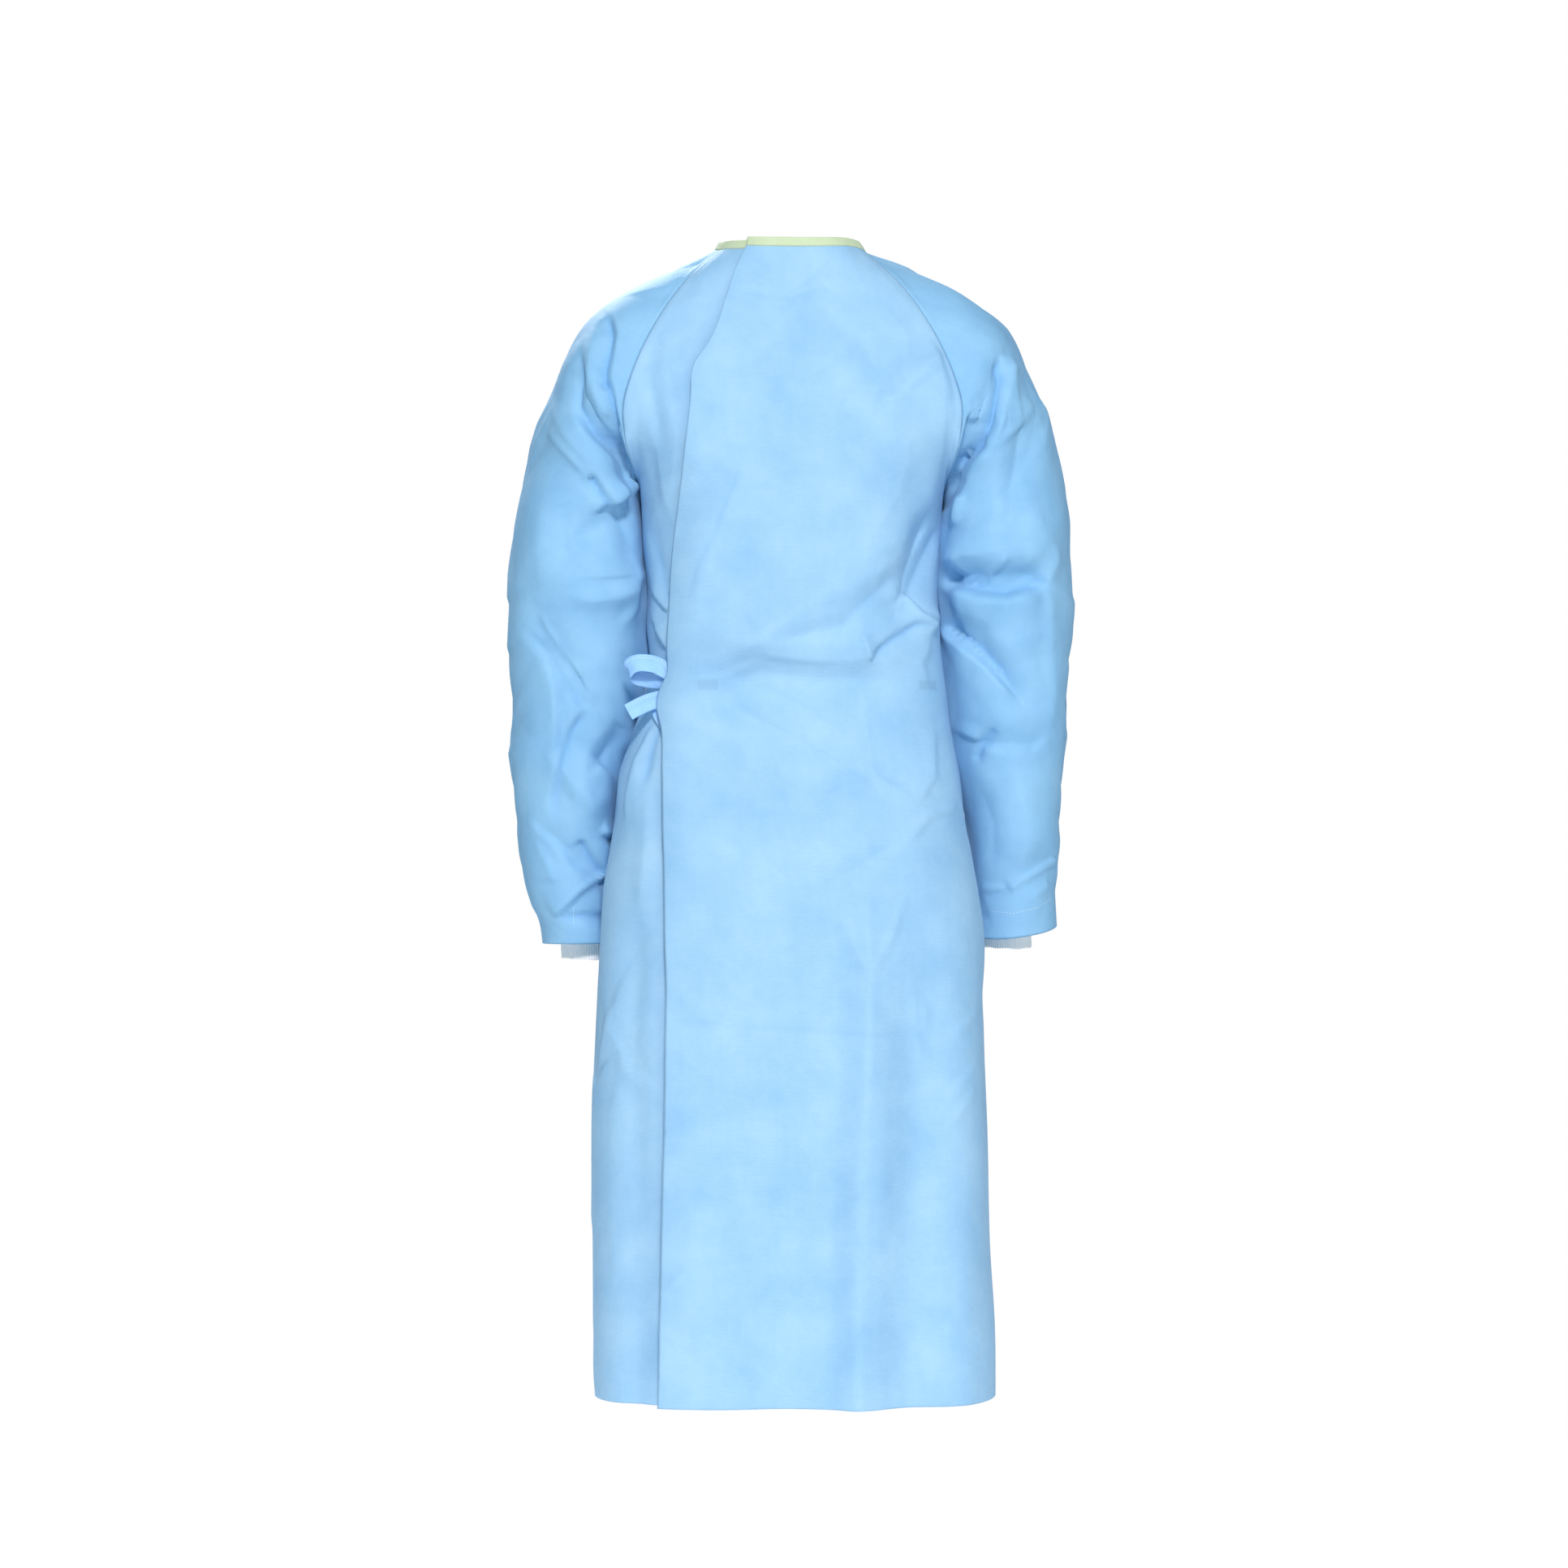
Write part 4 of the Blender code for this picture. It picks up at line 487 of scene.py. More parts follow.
        (1.8, 7, 12, (0.1, 0.3), (-170, -700), (-130, -740), (-100, -800)),
        (1.8, 12, 7, (0.1, 0.3), (176, -840), (130, -880), (104, -940)),
        (1.6, 7, 10, (0.1, 0.3), (-120, -1060), (-60, -1090), (-20, -1130)),
    ],
    ("sleeve_left", "front"): [
        (4.0, 20, 7, (0.2, 0.1), (-240, -150), (-210, -190), (-176, -230), (-152, -262)),
        (-5.0, 9, 22, (0.2, 0.1), (-252, -320), (-210, -346), (-160, -356)),
        (5.0, 22, 8, (0.2, 0.1), (-256, -378), (-214, -396), (-164, -390)),
        (4.0, 7, 20, (0.1, 0.2), (-176, -430), (-206, -470), (-240, -500)),
        (-4.0, 18, 8, (0.1, 0.2), (-184, -540), (-214, -566), (-250, -580)),
        (3.5, 8, 16, (0.2, 0.2), (-192, -600), (-214, -630), (-236, -664)),
    ],
    ("sleeve_right", "front"): [
        (4.0, 7, 20, (0.2, 0.1), (244, -146), (214, -186), (180, -226), (156, -260)),
        (-5.0, 22, 9, (0.2, 0.1), (258, -326), (216, -350), (166, -352)),
        (5.0, 8, 22, (0.2, 0.1), (260, -384), (220, -400), (170, -392)),
        (4.0, 20, 7, (0.1, 0.2), (182, -436), (210, -474), (244, -506)),
        (-4.0, 8, 18, (0.1, 0.2), (190, -546), (218, -570), (254, -584)),
        (3.5, 16, 8, (0.2, 0.2), (200, -606), (222, -634), (244, -664)),
    ],
}

FOLDS = {key: [Fold(*row) for row in rows] for key, rows in FOLD_ROWS.items()}
CREASES = {key: [Crease(*row[:4], row[4:]) for row in rows] for key, rows in CREASE_ROWS.items()}

# Flat facets all over, as on crumpled paper: how far apart their corners lie and how high they stand.
Crumple = namedtuple("Crumple", "spacing height seed")
CRUMPLES = {
    "back_panel_right": Crumple(0.060, 0.0011, 11),
    "back_panel_left": Crumple(0.048, 0.0012, 12),
    "front_panel": Crumple(0.060, 0.0013, 13),
    "sleeve_left": Crumple(0.044, 0.0019, 14),
    "sleeve_right": Crumple(0.044, 0.0019, 15),
}

# ---------------------------------------------------------------- form

NEVER_ZERO = 1e-12  # keeps a division from failing
ON_A_POINT = 1e-9  # a place this near to a point, in steps between points, is on it


def smoothstep(low, high, value):
    share = np.clip((np.asarray(value, float) - low) / (high - low), 0.0, 1.0)
    return share * share * (3.0 - 2.0 * share)


def unit(vectors):
    vectors = np.asarray(vectors, float)
    return vectors / np.maximum(np.linalg.norm(vectors, axis=-1, keepdims=True), NEVER_ZERO)


def curve_shares(s):
    """How much a smooth curve has of its start, start's slope, end and end's slope, at s from 0 to 1."""
    return 2 * s**3 - 3 * s**2 + 1, s**3 - 2 * s**2 + s, -2 * s**3 + 3 * s**2, s**3 - s**2


def along_table(rows, key, value):
    """A smooth curve through a table's rows, read where the column key has that value."""
    table = np.array(rows, float)
    at = table[:, rows[0]._fields.index(key)]
    if at[0] > at[-1]:
        table, at = table[::-1], at[::-1]
    value = min(max(value, at[0]), at[-1])
    slopes = np.gradient(table, at, axis=0)
    i = min(int(np.searchsorted(at, value, side="right")) - 1, len(at) - 2)
    span = at[i + 1] - at[i]
    begin, leave, end, arrive = curve_shares((value - at[i]) / span)
    read = begin * table[i] + leave * span * slopes[i] + end * table[i + 1] + arrive * span * slopes[i + 1]
    return type(rows[0])(*read)


def bezier(start, leave, arrive, end, count):
    s = np.linspace(0.0, 1.0, count)[:, None]
    return (1 - s) ** 3 * start + 3 * s * (1 - s) ** 2 * leave + 3 * s**2 * (1 - s) * arrive + s**3 * end


def lengths_along(line):
    """How far each point of a line is from its first one, along it."""
    return np.concatenate([[0.0], np.cumsum(np.linalg.norm(np.diff(line, axis=0), axis=1))])


def read_at(at, along, values):
    """The columns of values, which are known at along, read at other places."""
    return np.stack([np.interp(at, along, column) for column in values.T], axis=1)


def evenly(line, count):
    along = lengths_along(line)
    return read_at(np.linspace(0.0, along[-1], count), along, line)


def between_x(line, low, high):
    index = np.arange(len(line))
    first, last = np.interp([low, high], line[:, 0], index)
    ends = read_at([first, last], index, line)
    inside = line[math.ceil(first + ON_A_POINT) : math.floor(last - ON_A_POINT) + 1]
    return np.vstack([ends[:1], inside, ends[1:]])


def yoke_side(down, side):
    row = along_table(YOKE, "down", down)
    out = -1.0 if side == "left" else RIGHT_YOKE_WIDTH
    return (
        row,
        np.array([out * row.back_x, row.back_y, row.back_z]),
        np.array([out * row.front_x, row.front_y, row.front_z]),
        np.array([out * row.cap_x, 0.0, row.cap_z]),
    )


def across(left, middle, right, turn, way):
    leave = np.array([math.cos(turn), way * math.sin(turn), 0.0])
    come = np.array([-math.cos(turn), way * math.sin(turn), 0.0])
    half_left, half_right = np.linalg.norm(middle - left), np.linalg.norm(right - middle)
    flat = np.array([MIDDLE_LEAD, 0.0, 0.0])
    lead = SEAM_LEAD + SEAM_LEAD_TURNED * math.sin(turn) ** 2
    first = bezier(left, left + leave * half_left * lead, middle - flat * half_left, middle, DENSE)
    second = bezier(middle, middle + flat * half_right, right + come * half_right * lead, right, DENSE)
    return np.vstack([first, second[1:]])


def yoke_back_row(down):
    row, left, _, _ = yoke_side(down, "left")
    _, right, _, _ = yoke_side(down, "right")
    share = smoothstep(0.0, BACK_DEEPENS_OVER, down)
    depth = BACK_NECK_DEPTH + (BODY_RINGS[0].back - BACK_NECK_DEPTH) * share
    return across(left, np.array([0.0, -depth, left[2]]), right, math.radians(row.body_turn), -1.0)


def yoke_front_row(down):
    row, _, left, _ = yoke_side(down, "left")
    _, _, right, _ = yoke_side(down, "right")
    share = smoothstep(0.0, FRONT_DEEPENS_OVER, down)
    depth = FRONT_NECK_DEPTH + (BODY_RINGS[0].front - FRONT_NECK_DEPTH) * share
    drop = FRONT_NECK_DROP * (1.0 - smoothstep(0.0, FRONT_DROP_OVER, down))
    line = across(left, np.array([0.0, depth, left[2]]), right, math.radians(row.body_turn), 1.0)
    side = np.where(line[:, 0] < 0, left[0], right[0])
    line[:, 2] -= drop * (1.0 - (line[:, 0] / side) ** 2)
    return line


def body_row(z, way):
    ring = along_table(BODY_RINGS, "z", z)
    depth, square = (ring.back, ring.back_square) if way < 0 else (ring.front, ring.front_square)
    turn = np.linspace(-math.pi / 2, math.pi / 2, 2 * DENSE)
    across_it = np.sign(np.sin(turn)) * np.abs(np.sin(turn)) ** (2 / square)
    x = across_it * np.where(turn < 0, ring.left, ring.right)
    y = way * depth * np.maximum(np.cos(turn), 0.0) ** (2 / square)
    return np.stack([x, y, np.full(len(turn), z)], axis=1)


def cap_row(down, side):
    row, back, front, cap = yoke_side(down, side)
    turn = math.radians(row.sleeve_turn)
    halves = []
    for seam, way in ((back, -1.0), (front, 1.0)):
        outward = cap - seam
        chord = np.linalg.norm(outward)
        outward[1] = 0.0
        leave = unit(outward) * math.cos(turn) + np.array([0.0, way, 0.0]) * math.sin(turn)
        top = np.array([0.0, way, 0.0])
        line = bezier(seam, seam + leave * chord * row.reach, cap + top * chord * row.reach, cap, DENSE)
        bowed = cap[2] + (seam[2] - cap[2]) * np.linspace(1.0, 0.0, DENSE) ** 2
        line[:, 2] += (bowed - line[:, 2]) * (1.0 - smoothstep(0.0, YOKE_LEVELS_OUT, down))
        halves.append(line)
    return halves[0], halves[1][::-1]


def sleeve_ring(row, out, sag=0.0):
    inner = np.array([out * row.inner_x, row.middle_y, row.inner_z])
    outer = np.array([out * row.outer_x, row.middle_y, row.outer_z])
    back = np.array([0.0, -row.back, -sag]) * HALF_ELLIPSE_LEAD
    front = np.array([0.0, row.front, 0.0]) * HALF_ELLIPSE_LEAD
    behind = bezier(inner, inner + back, outer + back, outer, DENSE)
    before = bezier(outer, outer + front, inner + front, inner, DENSE)
    return behind, before


def whole_row(behind, before):
    back, front = evenly(behind, SLEEVE_HALF_COLUMNS), evenly(before, SLEEVE_HALF_COLUMNS)
    return np.vstack([back, front[1:]])


class Panel:
    """A fine grid of cloth points, their places on the flat cloth, and how far off a seam and an edge are."""

    def __init__(self, name, points, outward, seams, closed_from=None):
        self.name = name
        self.points = np.array(points)
        self.outward = outward
        self.closed_from = closed_from
        across_it = np.linalg.norm(np.diff(self.points, axis=1), axis=2)
        along_row = np.concatenate([np.zeros((len(self.points), 1)), np.cumsum(across_it, axis=1)], axis=1)
        middle = self.points[:, self.points.shape[1] // 2]
        down = lengths_along(middle)
        centre = along_row[:, along_row.shape[1] // 2][:, None]
        self.flat = np.stack([along_row - centre, np.broadcast_to(-down[:, None], along_row.shape)], axis=2)
        self.seam = np.full(along_row.shape, 1.0)
        if "first" in seams:
            self.seam = np.minimum(self.seam, along_row)
        if "last" in seams:
            self.seam = np.minimum(self.seam, along_row[:, -1:] - along_row)
        if closed_from is not None:
            below = np.maximum(UNDERARM_Z - self.points[closed_from:, :, 2], 0.0)
            self.seam[closed_from:] = np.hypot(self.seam[closed_from:], below)
        from_ends = np.minimum(down, down[-1] - down)[:, None]
        self.edge = np.minimum(np.minimum(along_row, along_row[:, -1:] - along_row), from_ends)
        # creased holds the painted shade along the creases' troughs, set when the creases are added.
        self.creased = np.zeros(along_row.shape)

    def normals(self):
        rows = np.gradient(self.points, axis=0)
        columns = np.gradient(self.points, axis=1)
        if self.closed_from is not None:
            k = self.closed_from
            wrapped = self.points[k:, 1] - self.points[k:, -2]
            columns[k:, 0] = columns[k:, -1] = wrapped
            between = 0.5 * (rows[k:, 0] + rows[k:, -1])
            rows[k:, 0] = rows[k:, -1] = between
        return unit(np.cross(rows, columns) * self.outward)

    def raise_by(self, height, normals=None):
        normals = self.normals() if normals is None else normals
        self.points = self.points + normals * height[..., None]


def lay_out():
    """Every panel before its folds. Panels share their seam points."""
    downs = np.linspace(0.0, 1.0, YOKE_ROWS)
    levels = np.linspace(UNDERARM_Z, HEM_Z, TRUNK_ROWS + 1)[1:]
    right, left, front = [], [], []
    for line in [yoke_back_row(d) for d in downs] + [body_row(z, -1.0) for z in levels]:
        edge = along_table(FLAP_EDGE, "z", line[0][2]).x
        right.append(evenly(between_x(line, edge, line[-1][0]), BACK_RIGHT_COLUMNS))
        hidden = min(INNER_EDGE_X, INNER_EDGE_SHARE * line[-1][0])
        left.append(evenly(between_x(line, line[0][0], hidden), BACK_LEFT_COLUMNS))
    for line in [yoke_front_row(d) for d in downs] + [body_row(z, 1.0) for z in levels]:
        front.append(evenly(line, FRONT_COLUMNS))
    panels = {
        "back_panel_right": Panel("back_panel_right", right, 1.0, ("last",)),
        "back_panel_left": Panel("back_panel_left", left, 1.0, ("first",)),
        "front_panel": Panel("front_panel", front, -1.0, ("first", "last")),
    }
    for side, outward in (("left", -1.0), ("right", 1.0)):
        panels["sleeve_" + side] = lay_sleeve(side, outward, downs)
    return panels


def lay_sleeve(side, outward, downs):
    out = -1.0 if side == "left" else 1.0
    table = SLEEVES[side]
    rows = [whole_row(*cap_row(down, side)) for down in downs[:-1]]
    top, end = table[0].inner_z, table[-1].inner_z
    for z in np.linspace(top, end, SLEEVE_ROWS + 1):
        sag = SLEEVE_END_SAG[side] * smoothstep(SAG_FROM_Z, end, z)
        rows.append(whole_row(*sleeve_ring(along_table(table, "inner_z", z), out, float(sag))))
    return Panel("sleeve_" + side, rows, outward, ("first", "last"), closed_from=len(downs) - 1)


# ---------------------------------------------------------------- folds and creases

# A side's axis across the view, its axis along the view, and which way along that its cloth faces.
SIDES = {"back": (0, 1, -1.0), "front": (0, 1, 1.0), "left": (1, 0, -1.0), "right": (1, 0, 1.0)}


def rows_of(table, name):
    """The rows that a table has for that panel, each with the side that it is seen from."""
    return [(row, side) for (start, side), rows in table.items() if name.startswith(start) for row in rows]


def fold_height(fold, side, points, normals):
    _, facing_axis, way = SIDES[side]
    facing = smoothstep(*FOLD_FACING, normals[..., facing_axis] * way)
    start, end = np.array([fold.x0, fold.z0]), np.array([fold.x1, fold.z1])
    line = end - start
    share = ((points[..., [0, 2]] - start) @ line) / (line @ line)
    away = np.linalg.norm(points[..., [0, 2]] - (start + share[..., None] * line), axis=-1)
    runs_out = smoothstep(0.0, FOLD_RUNS_OUT, share) * smoothstep(0.0, FOLD_RUNS_OUT, 1.0 - share)
    shape = np.exp(-((away / fold.spread) ** 2))
    if fold.z1 > HEM_Z:
        tent = np.clip(1.0 - away / (FOLD_REACH * fold.spread), 0.0, 1.0) ** FOLD_POWER
        shape = FOLD_CRISP * tent + (1.0 - FOLD_CRISP) * shape
    return fold.height * shape * facing * runs_out


CREST_ROUND = 0.0012  # how blunt a crest is
CREST_POWER = 1.4  # how quickly cloth falls away from it
CREASE_FACING = (0.18, 0.60)
CREASE_LINE = 0.0027  # how far from a trough's line the cloth's colour gets painted shade
CREASE_DEEP = 7.0  # how deep in mm a trough is whose line gets the darkest painted shade
CREASE_SHARP = (7, 14)  # and how narrow in mm, on its steeper side
CREASE_FADE_STARTS = 0.3  # how far before a crease's end its fade starts, as a share of the fade
SLEEVE_CREASES = 1.3  # how much more the creases on a sleeve's back stand out than their rows say


def crease_height(crease, seen_from, points, normals):
    """How high one crease stands at these points, and how much painted shade they get near its line if it is a
    trough.
    """
    axis, facing_axis, way = SIDES[seen_from]
    facing = smoothstep(*CREASE_FACING, normals[..., facing_axis] * way)
    at = points[..., [axis, 2]]
    path = np.array(crease.path, float) * MM
    lengths = np.linalg.norm(np.diff(path, axis=0), axis=1)
    total = lengths.sum()
    best = np.full(at.shape[:-1], np.inf)
    signed, share = np.zeros_like(best), np.zeros_like(best)
    before = 0.0
    for a, b, length in zip(path[:-1], path[1:], lengths):
        along = (b - a) / length
        offset = at - a
        s = np.clip(offset @ along, 0.0, length)
        gap = np.linalg.norm(offset - s[..., None] * along, axis=-1)
        side = along[0] * offset[..., 1] - along[1] * offset[..., 0]
        closer = gap < best
        best = np.where(closer, gap, best)
        signed = np.where(closer, np.where(side >= 0, gap, -gap), signed)
        share = np.where(closer, (before + s) / total, share)
        before += length
    width = np.where(signed >= 0, crease.left, crease.right) * MM
    blunt = np.sqrt(best**2 + CREST_ROUND**2) - CREST_ROUND
    fall = np.clip(1.0 - blunt / width, 0.0, 1.0) ** CREST_POWER
    runs_out = 1.0
    for over, done in zip(crease.ends, (share, 1.0 - share)):
        if over > 0:
            runs_out = runs_out * smoothstep(-CREASE_FADE_STARTS * over, over, done)
    # The cloth near a trough's line gets painted shade, darkest where the trough is deep and steep.
    deep = min(max(-crease.height, 0.0) / CREASE_DEEP, 1.0)
    sharp = 1.0 - smoothstep(*CREASE_SHARP, min(crease.left, crease.right))
    line = sharp * deep * np.exp(-((best / CREASE_LINE) ** 2)) * facing * runs_out
    return crease.height * MM * fall * facing * runs_out, line


CRUMPLE_SHIFT = 0.42  # how far a corner is moved at random, as a share of the spacing
CORNERS_APART = 1e-6


def crumple(panel):
    """Heights of flat facets between random corners on the flat cloth."""
    spec = CRUMPLES[panel.name]
    rng = np.random.default_rng(spec.seed)
    flat = panel.flat.reshape(-1, 2)
    low, high = flat.min(axis=0) - spec.spacing, flat.max(axis=0) + spec.spacing
    counts = np.ceil((high - low) / spec.spacing).astype(int) + 1
    grid = np.stack(np.meshgrid(*(np.arange(n) for n in counts)), axis=-1).reshape(-1, 2).astype(float)
    corners = low + (grid + rng.uniform(-CRUMPLE_SHIFT, CRUMPLE_SHIFT, grid.shape)) * spec.spacing
    heights = rng.normal(0.0, spec.height, len(corners))
    triangles = geometry.delaunay_2d_cdt([Vector(c) for c in corners], [], [], 0, CORNERS_APART)[2]
    found = np.zeros(len(flat))
    for i, j, k in triangles:
        a, b, c = corners[i], corners[j], corners[k]
        near = np.flatnonzero(
            (flat >= np.minimum(np.minimum(a, b), c)).all(axis=1)
            & (flat <= np.maximum(np.maximum(a, b), c)).all(axis=1)
        )
        inverse = np.linalg.inv(np.array([b - a, c - a]).T)
        shares = (flat[near] - a) @ inverse.T
        inside = (shares[:, 0] >= 0) & (shares[:, 1] >= 0) & (shares.sum(axis=1) <= 1)
        near, shares = near[inside], shares[inside]
        found[near] = heights[i] + shares @ np.array([heights[j] - heights[i], heights[k] - heights[i]])
    return found.reshape(panel.seam.shape)


def heights_of(name, points, normals):
    """How high that panel's creases stand at these points, and the painted shade along its troughs."""
    total, painted_shade = np.zeros(points.shape[:-1]), np.zeros(points.shape[:-1])
    for crease, side in rows_of(CREASES, name):
        height, line = crease_height(crease, side, points, normals)
        total += height * (SLEEVE_CREASES if name.startswith("sleeve") and side == "back" else 1.0)
        painted_shade = np.maximum(painted_shade, line)
    return total, painted_shade


EASED_ROWS = 48  # how many rows above and below the underarm are eased
EASED_FROM_SEAM = 0.018
EASINGS = 240


def ease_underarm(panel):
    """Eases the bend across a panel where the rows that run to the seams meet the level ones."""
    rows = np.abs(np.arange(len(panel.points)) - (YOKE_ROWS - 1))
    near = (1.0 - smoothstep(0, EASED_ROWS, rows))[1:-1, None]
    near = near * smoothstep(0.0, EASED_FROM_SEAM, panel.seam[1:-1])
    for _ in range(EASINGS):
        between = 0.5 * (panel.points[:-2] + panel.points[2:])
        panel.points[1:-1] += 0.5 * near[..., None] * (between - panel.points[1:-1])


UNDER_THE_FLAP = 0.0015  # how far the inner panel keeps in from the outer one's creases
HIDDEN_LEAD = (-0.004, 0.010)  # where the outer panel starts to cover it and does so in full, from its edge


def press(panels):
    """Raises every panel's folds, parts the two backs where they overlap, and adds the creases."""
    for panel in panels.values():
        ease_underarm(panel)
    for name, panel in panels.items():
        normals = panel.normals()
        taper = smoothstep(0.0, SEAM_TAPER, panel.seam)
        height = sum(fold_height(fold, side, panel.points, normals) for fold, side in rows_of(FOLDS, name))
        panel.raise_by(height * taper, normals)
    part_the_backs(panels)
    for name, panel in panels.items():
        normals = panel.normals()
        taper = smoothstep(0.0, SEAM_TAPER, panel.seam)
        # Besides the heights, the creases give painted shade along their troughs, kept as creased.
        height, panel.creased = heights_of(name, panel.points, normals)
        height = height + crumple(panel)
        if name == "back_panel_left":
            hidden = hidden_share(panel)
            over = np.minimum(heights_of("back_panel_right", panel.points, normals)[0], 0.0)
            height = height * (1.0 - hidden) + (over - UNDER_THE_FLAP) * hidden
        panel.creased = panel.creased * taper
        ridge = SEAM_RIDGE * np.exp(-(((panel.seam - SEAM_RIDGE_AT) / SEAM_RIDGE_WIDTH) ** 2))
        panel.raise_by(height * taper + ridge, normals)


def hidden_share(panel):
    """0 where the inner back panel shows and 1 where the outer one covers it."""
    edge = np.array([along_table(FLAP_EDGE, "z", row[0][2]).x for row in panel.points])[:, None]
    return smoothstep(edge + HIDDEN_LEAD[0], edge + HIDDEN_LEAD[1], panel.points[..., 0])


def part_the_backs(panels):
    for name in ("back_panel_right", "back_panel_left"):
        panel = panels[name]
        normals = panel.normals()
        for line, normal in zip(panel.points, normals):
            z = line[0][2]
            edge = along_table(FLAP_EDGE, "z", z).x
            x = line[:, 0].copy()
            if name == "back_panel_right":
                shift = FLAP_LIFT * (1.0 - smoothstep(*FLAP_LEVELS_AT, x))
                stand = along_table(FLAP_STAND, "z", z).lift
                line[:, 1] -= stand * (1.0 - smoothstep(edge, edge + FLAP_STAND_WIDTH, x))
            else:
                under = smoothstep(edge + INNER_LEAD[0], edge + INNER_LEAD[1], x)
                deep = smoothstep(edge, edge + INNER_DEEP_RUN, x)
                shift = -INNER_DROP * under - (INNER_DROP_DEEP - INNER_DROP) * deep
            line += normal * shift[:, None]


# ---------------------------------------------------------------- meshes


def new_object(name, points, faces, uvs=None, values=None):
    """A mesh object. uvs has a row for each corner of each face, and values has numbers for its points."""
    mesh = bpy.data.meshes.new(name)
    mesh.from_pydata(np.asarray(points).tolist(), [], faces)
    if uvs is not None:
        layer = mesh.uv_layers.new(name="cloth")
        layer.data.foreach_set("uv", np.asarray(uvs, np.float32).ravel())
    for key, numbers in (values or {}).items():
        attribute = mesh.attributes.new(key, "FLOAT", "POINT")
        attribute.data.foreach_set("value", np.asarray(numbers, np.float32).ravel())
    mesh.shade_smooth()
    obj = bpy.data.objects.new(name, mesh)
    bpy.context.scene.collection.objects.link(obj)
    return obj


def finish_piece(obj, material, nodes):
    obj.data.materials.append(material)
    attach(obj, BODY)
    if nodes:
        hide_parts(*nodes)
    return obj


def cells(grid, step):
    """The corners of every cell of a grid taken at that step, in order round the cell."""
    g = grid[::step, ::step]
    return np.stack([g[:-1, :-1], g[1:, :-1], g[1:, 1:], g[:-1, 1:]], axis=2).reshape(-1, 4, *g.shape[2:])


def shell(name, panel, extra_rows=()):
    """The panel as a thin closed shell, fine outside and half as fine inside, with a rim at its free edges.
    extra_rows go on past its last row, as at a turned-in end."""
    points = np.concatenate([panel.points, np.array(extra_rows)]) if len(extra_rows) else panel.points
    grown = Panel(panel.name, points, panel.outward, (), panel.closed_from)
    rows, columns = points.shape[:2]
    count = rows * columns
    number = np.arange(count).reshape(rows, columns)
    if panel.closed_from is not None:
        number[panel.closed_from :, -1] = number[panel.closed_from :, 0]
    fine, coarse = cells(number, 1), cells(number, 2)
    middles = [number[1::2, :-2:2], number[2::2, 1::2], number[1::2, 2::2], number[:-2:2, 1::2]]
    middles = np.stack([m.reshape(-1) for m in middles], axis=1)
    fine_flat, coarse_flat = cells(grown.flat, 1), cells(grown.flat, 2)
    starts, ends = coarse, np.roll(coarse, -1, axis=1)
    if panel.outward < 0:
        fine, fine_flat = fine[:, ::-1], fine_flat[:, ::-1]
        starts, ends = ends, starts
    else:
        coarse, coarse_flat = coarse[:, ::-1], coarse_flat[:, ::-1]
    a, b, m = starts.ravel(), ends.ravel(), middles.ravel()
    rim = ~np.isin(a * count + b, b * count + a)
    a, b, m = a[rim], b[rim], m[rim]
    rims = np.stack([b, m, a, a + count, b + count], axis=1)
    thickness = EDGE_SHEET + (SHEET - EDGE_SHEET) * smoothstep(0.0, SHEET_GROWS_OVER, grown.edge)
    outer = points.reshape(-1, 3)
    inner = outer - (grown.normals() * thickness[..., None]).reshape(-1, 3)
    rim_flat = grown.flat.reshape(-1, 2)[rims % count]
    uvs = np.concatenate([flat.reshape(-1, 2) for flat in (fine_flat, coarse_flat, rim_flat)])
    groups = [fine, coarse + count, rims]
    used, renumbered = np.unique(np.concatenate([g.ravel() for g in groups]), return_inverse=True)
    faces, at = [], 0
    for group in groups:
        faces += renumbered[at : at + group.size].reshape(group.shape).tolist()
        at += group.size
    values = {}
    # creased carries the painted shade along the creases' troughs.
    for key, numbers, elsewhere in (("seam", panel.seam, 1.0), ("creased", panel.creased, 0.0)):
        whole = np.full((rows, columns), elsewhere)
        whole[: len(numbers)] = numbers
        values[key] = np.concatenate([whole.ravel(), whole.ravel()])[used]
    return new_object(name, np.vstack([outer, inner])[used], faces, uvs, values)


def turned_in(panel, side):
    """The rows that turn a sleeve's end in and up to the cuff."""
    out = -1.0 if side == "left" else 1.0
    cuff = CUFFS[side]
    hem = panel.points[-1]
    angle = np.arctan2((hem[:, 1] - cuff.y) / cuff.half_y, (hem[:, 0] - out * cuff.x) / cuff.half_x)
    seat = np.stack(
        [
            out * cuff.x + (cuff.half_x + CUFF_GAP) * np.cos(angle),
            cuff.y + (cuff.half_y + CUFF_GAP) * np.sin(angle),
            np.full(len(hem), hem[:, 2].mean() + FLANGE_RISE),
        ],
        axis=1,
    )
    rows = []
    for share in TURNED_IN_AT:
        row = hem + (seat - hem) * share
        row[:, 2] += FLANGE_ROUND * math.sin(math.pi * share) * (1.0 - share)
        rows.append(row)
    return rows


def tube(rings, closed=True):
    """Faces of a stack of rings with the same number of points. closed joins the last ring to the first, and
    otherwise both ends get a cap."""
    count, size = len(rings), len(rings[0])
    faces = []
    for i in range(count if closed else count - 1):
        here, beyond = i * size, (i + 1) % count * size
        for j in range(size):
            k = (j + 1) % size
            faces.append([here + j, here + k, beyond + k, beyond + j])
    if not closed:
        faces += [list(range(size))[::-1], list(range((count - 1) * size, count * size))]
    return faces


def outward_faces(points, faces):
    """The faces, all turned the same way if their volume comes out negative."""
    points = np.asarray(points)
    volume = 0.0
    for face in faces:
        for j, k in zip(face[1:-1], face[2:]):
            volume += np.dot(points[face[0]], np.cross(points[j], points[k]))
    return faces if volume > 0 else [face[::-1] for face in faces]


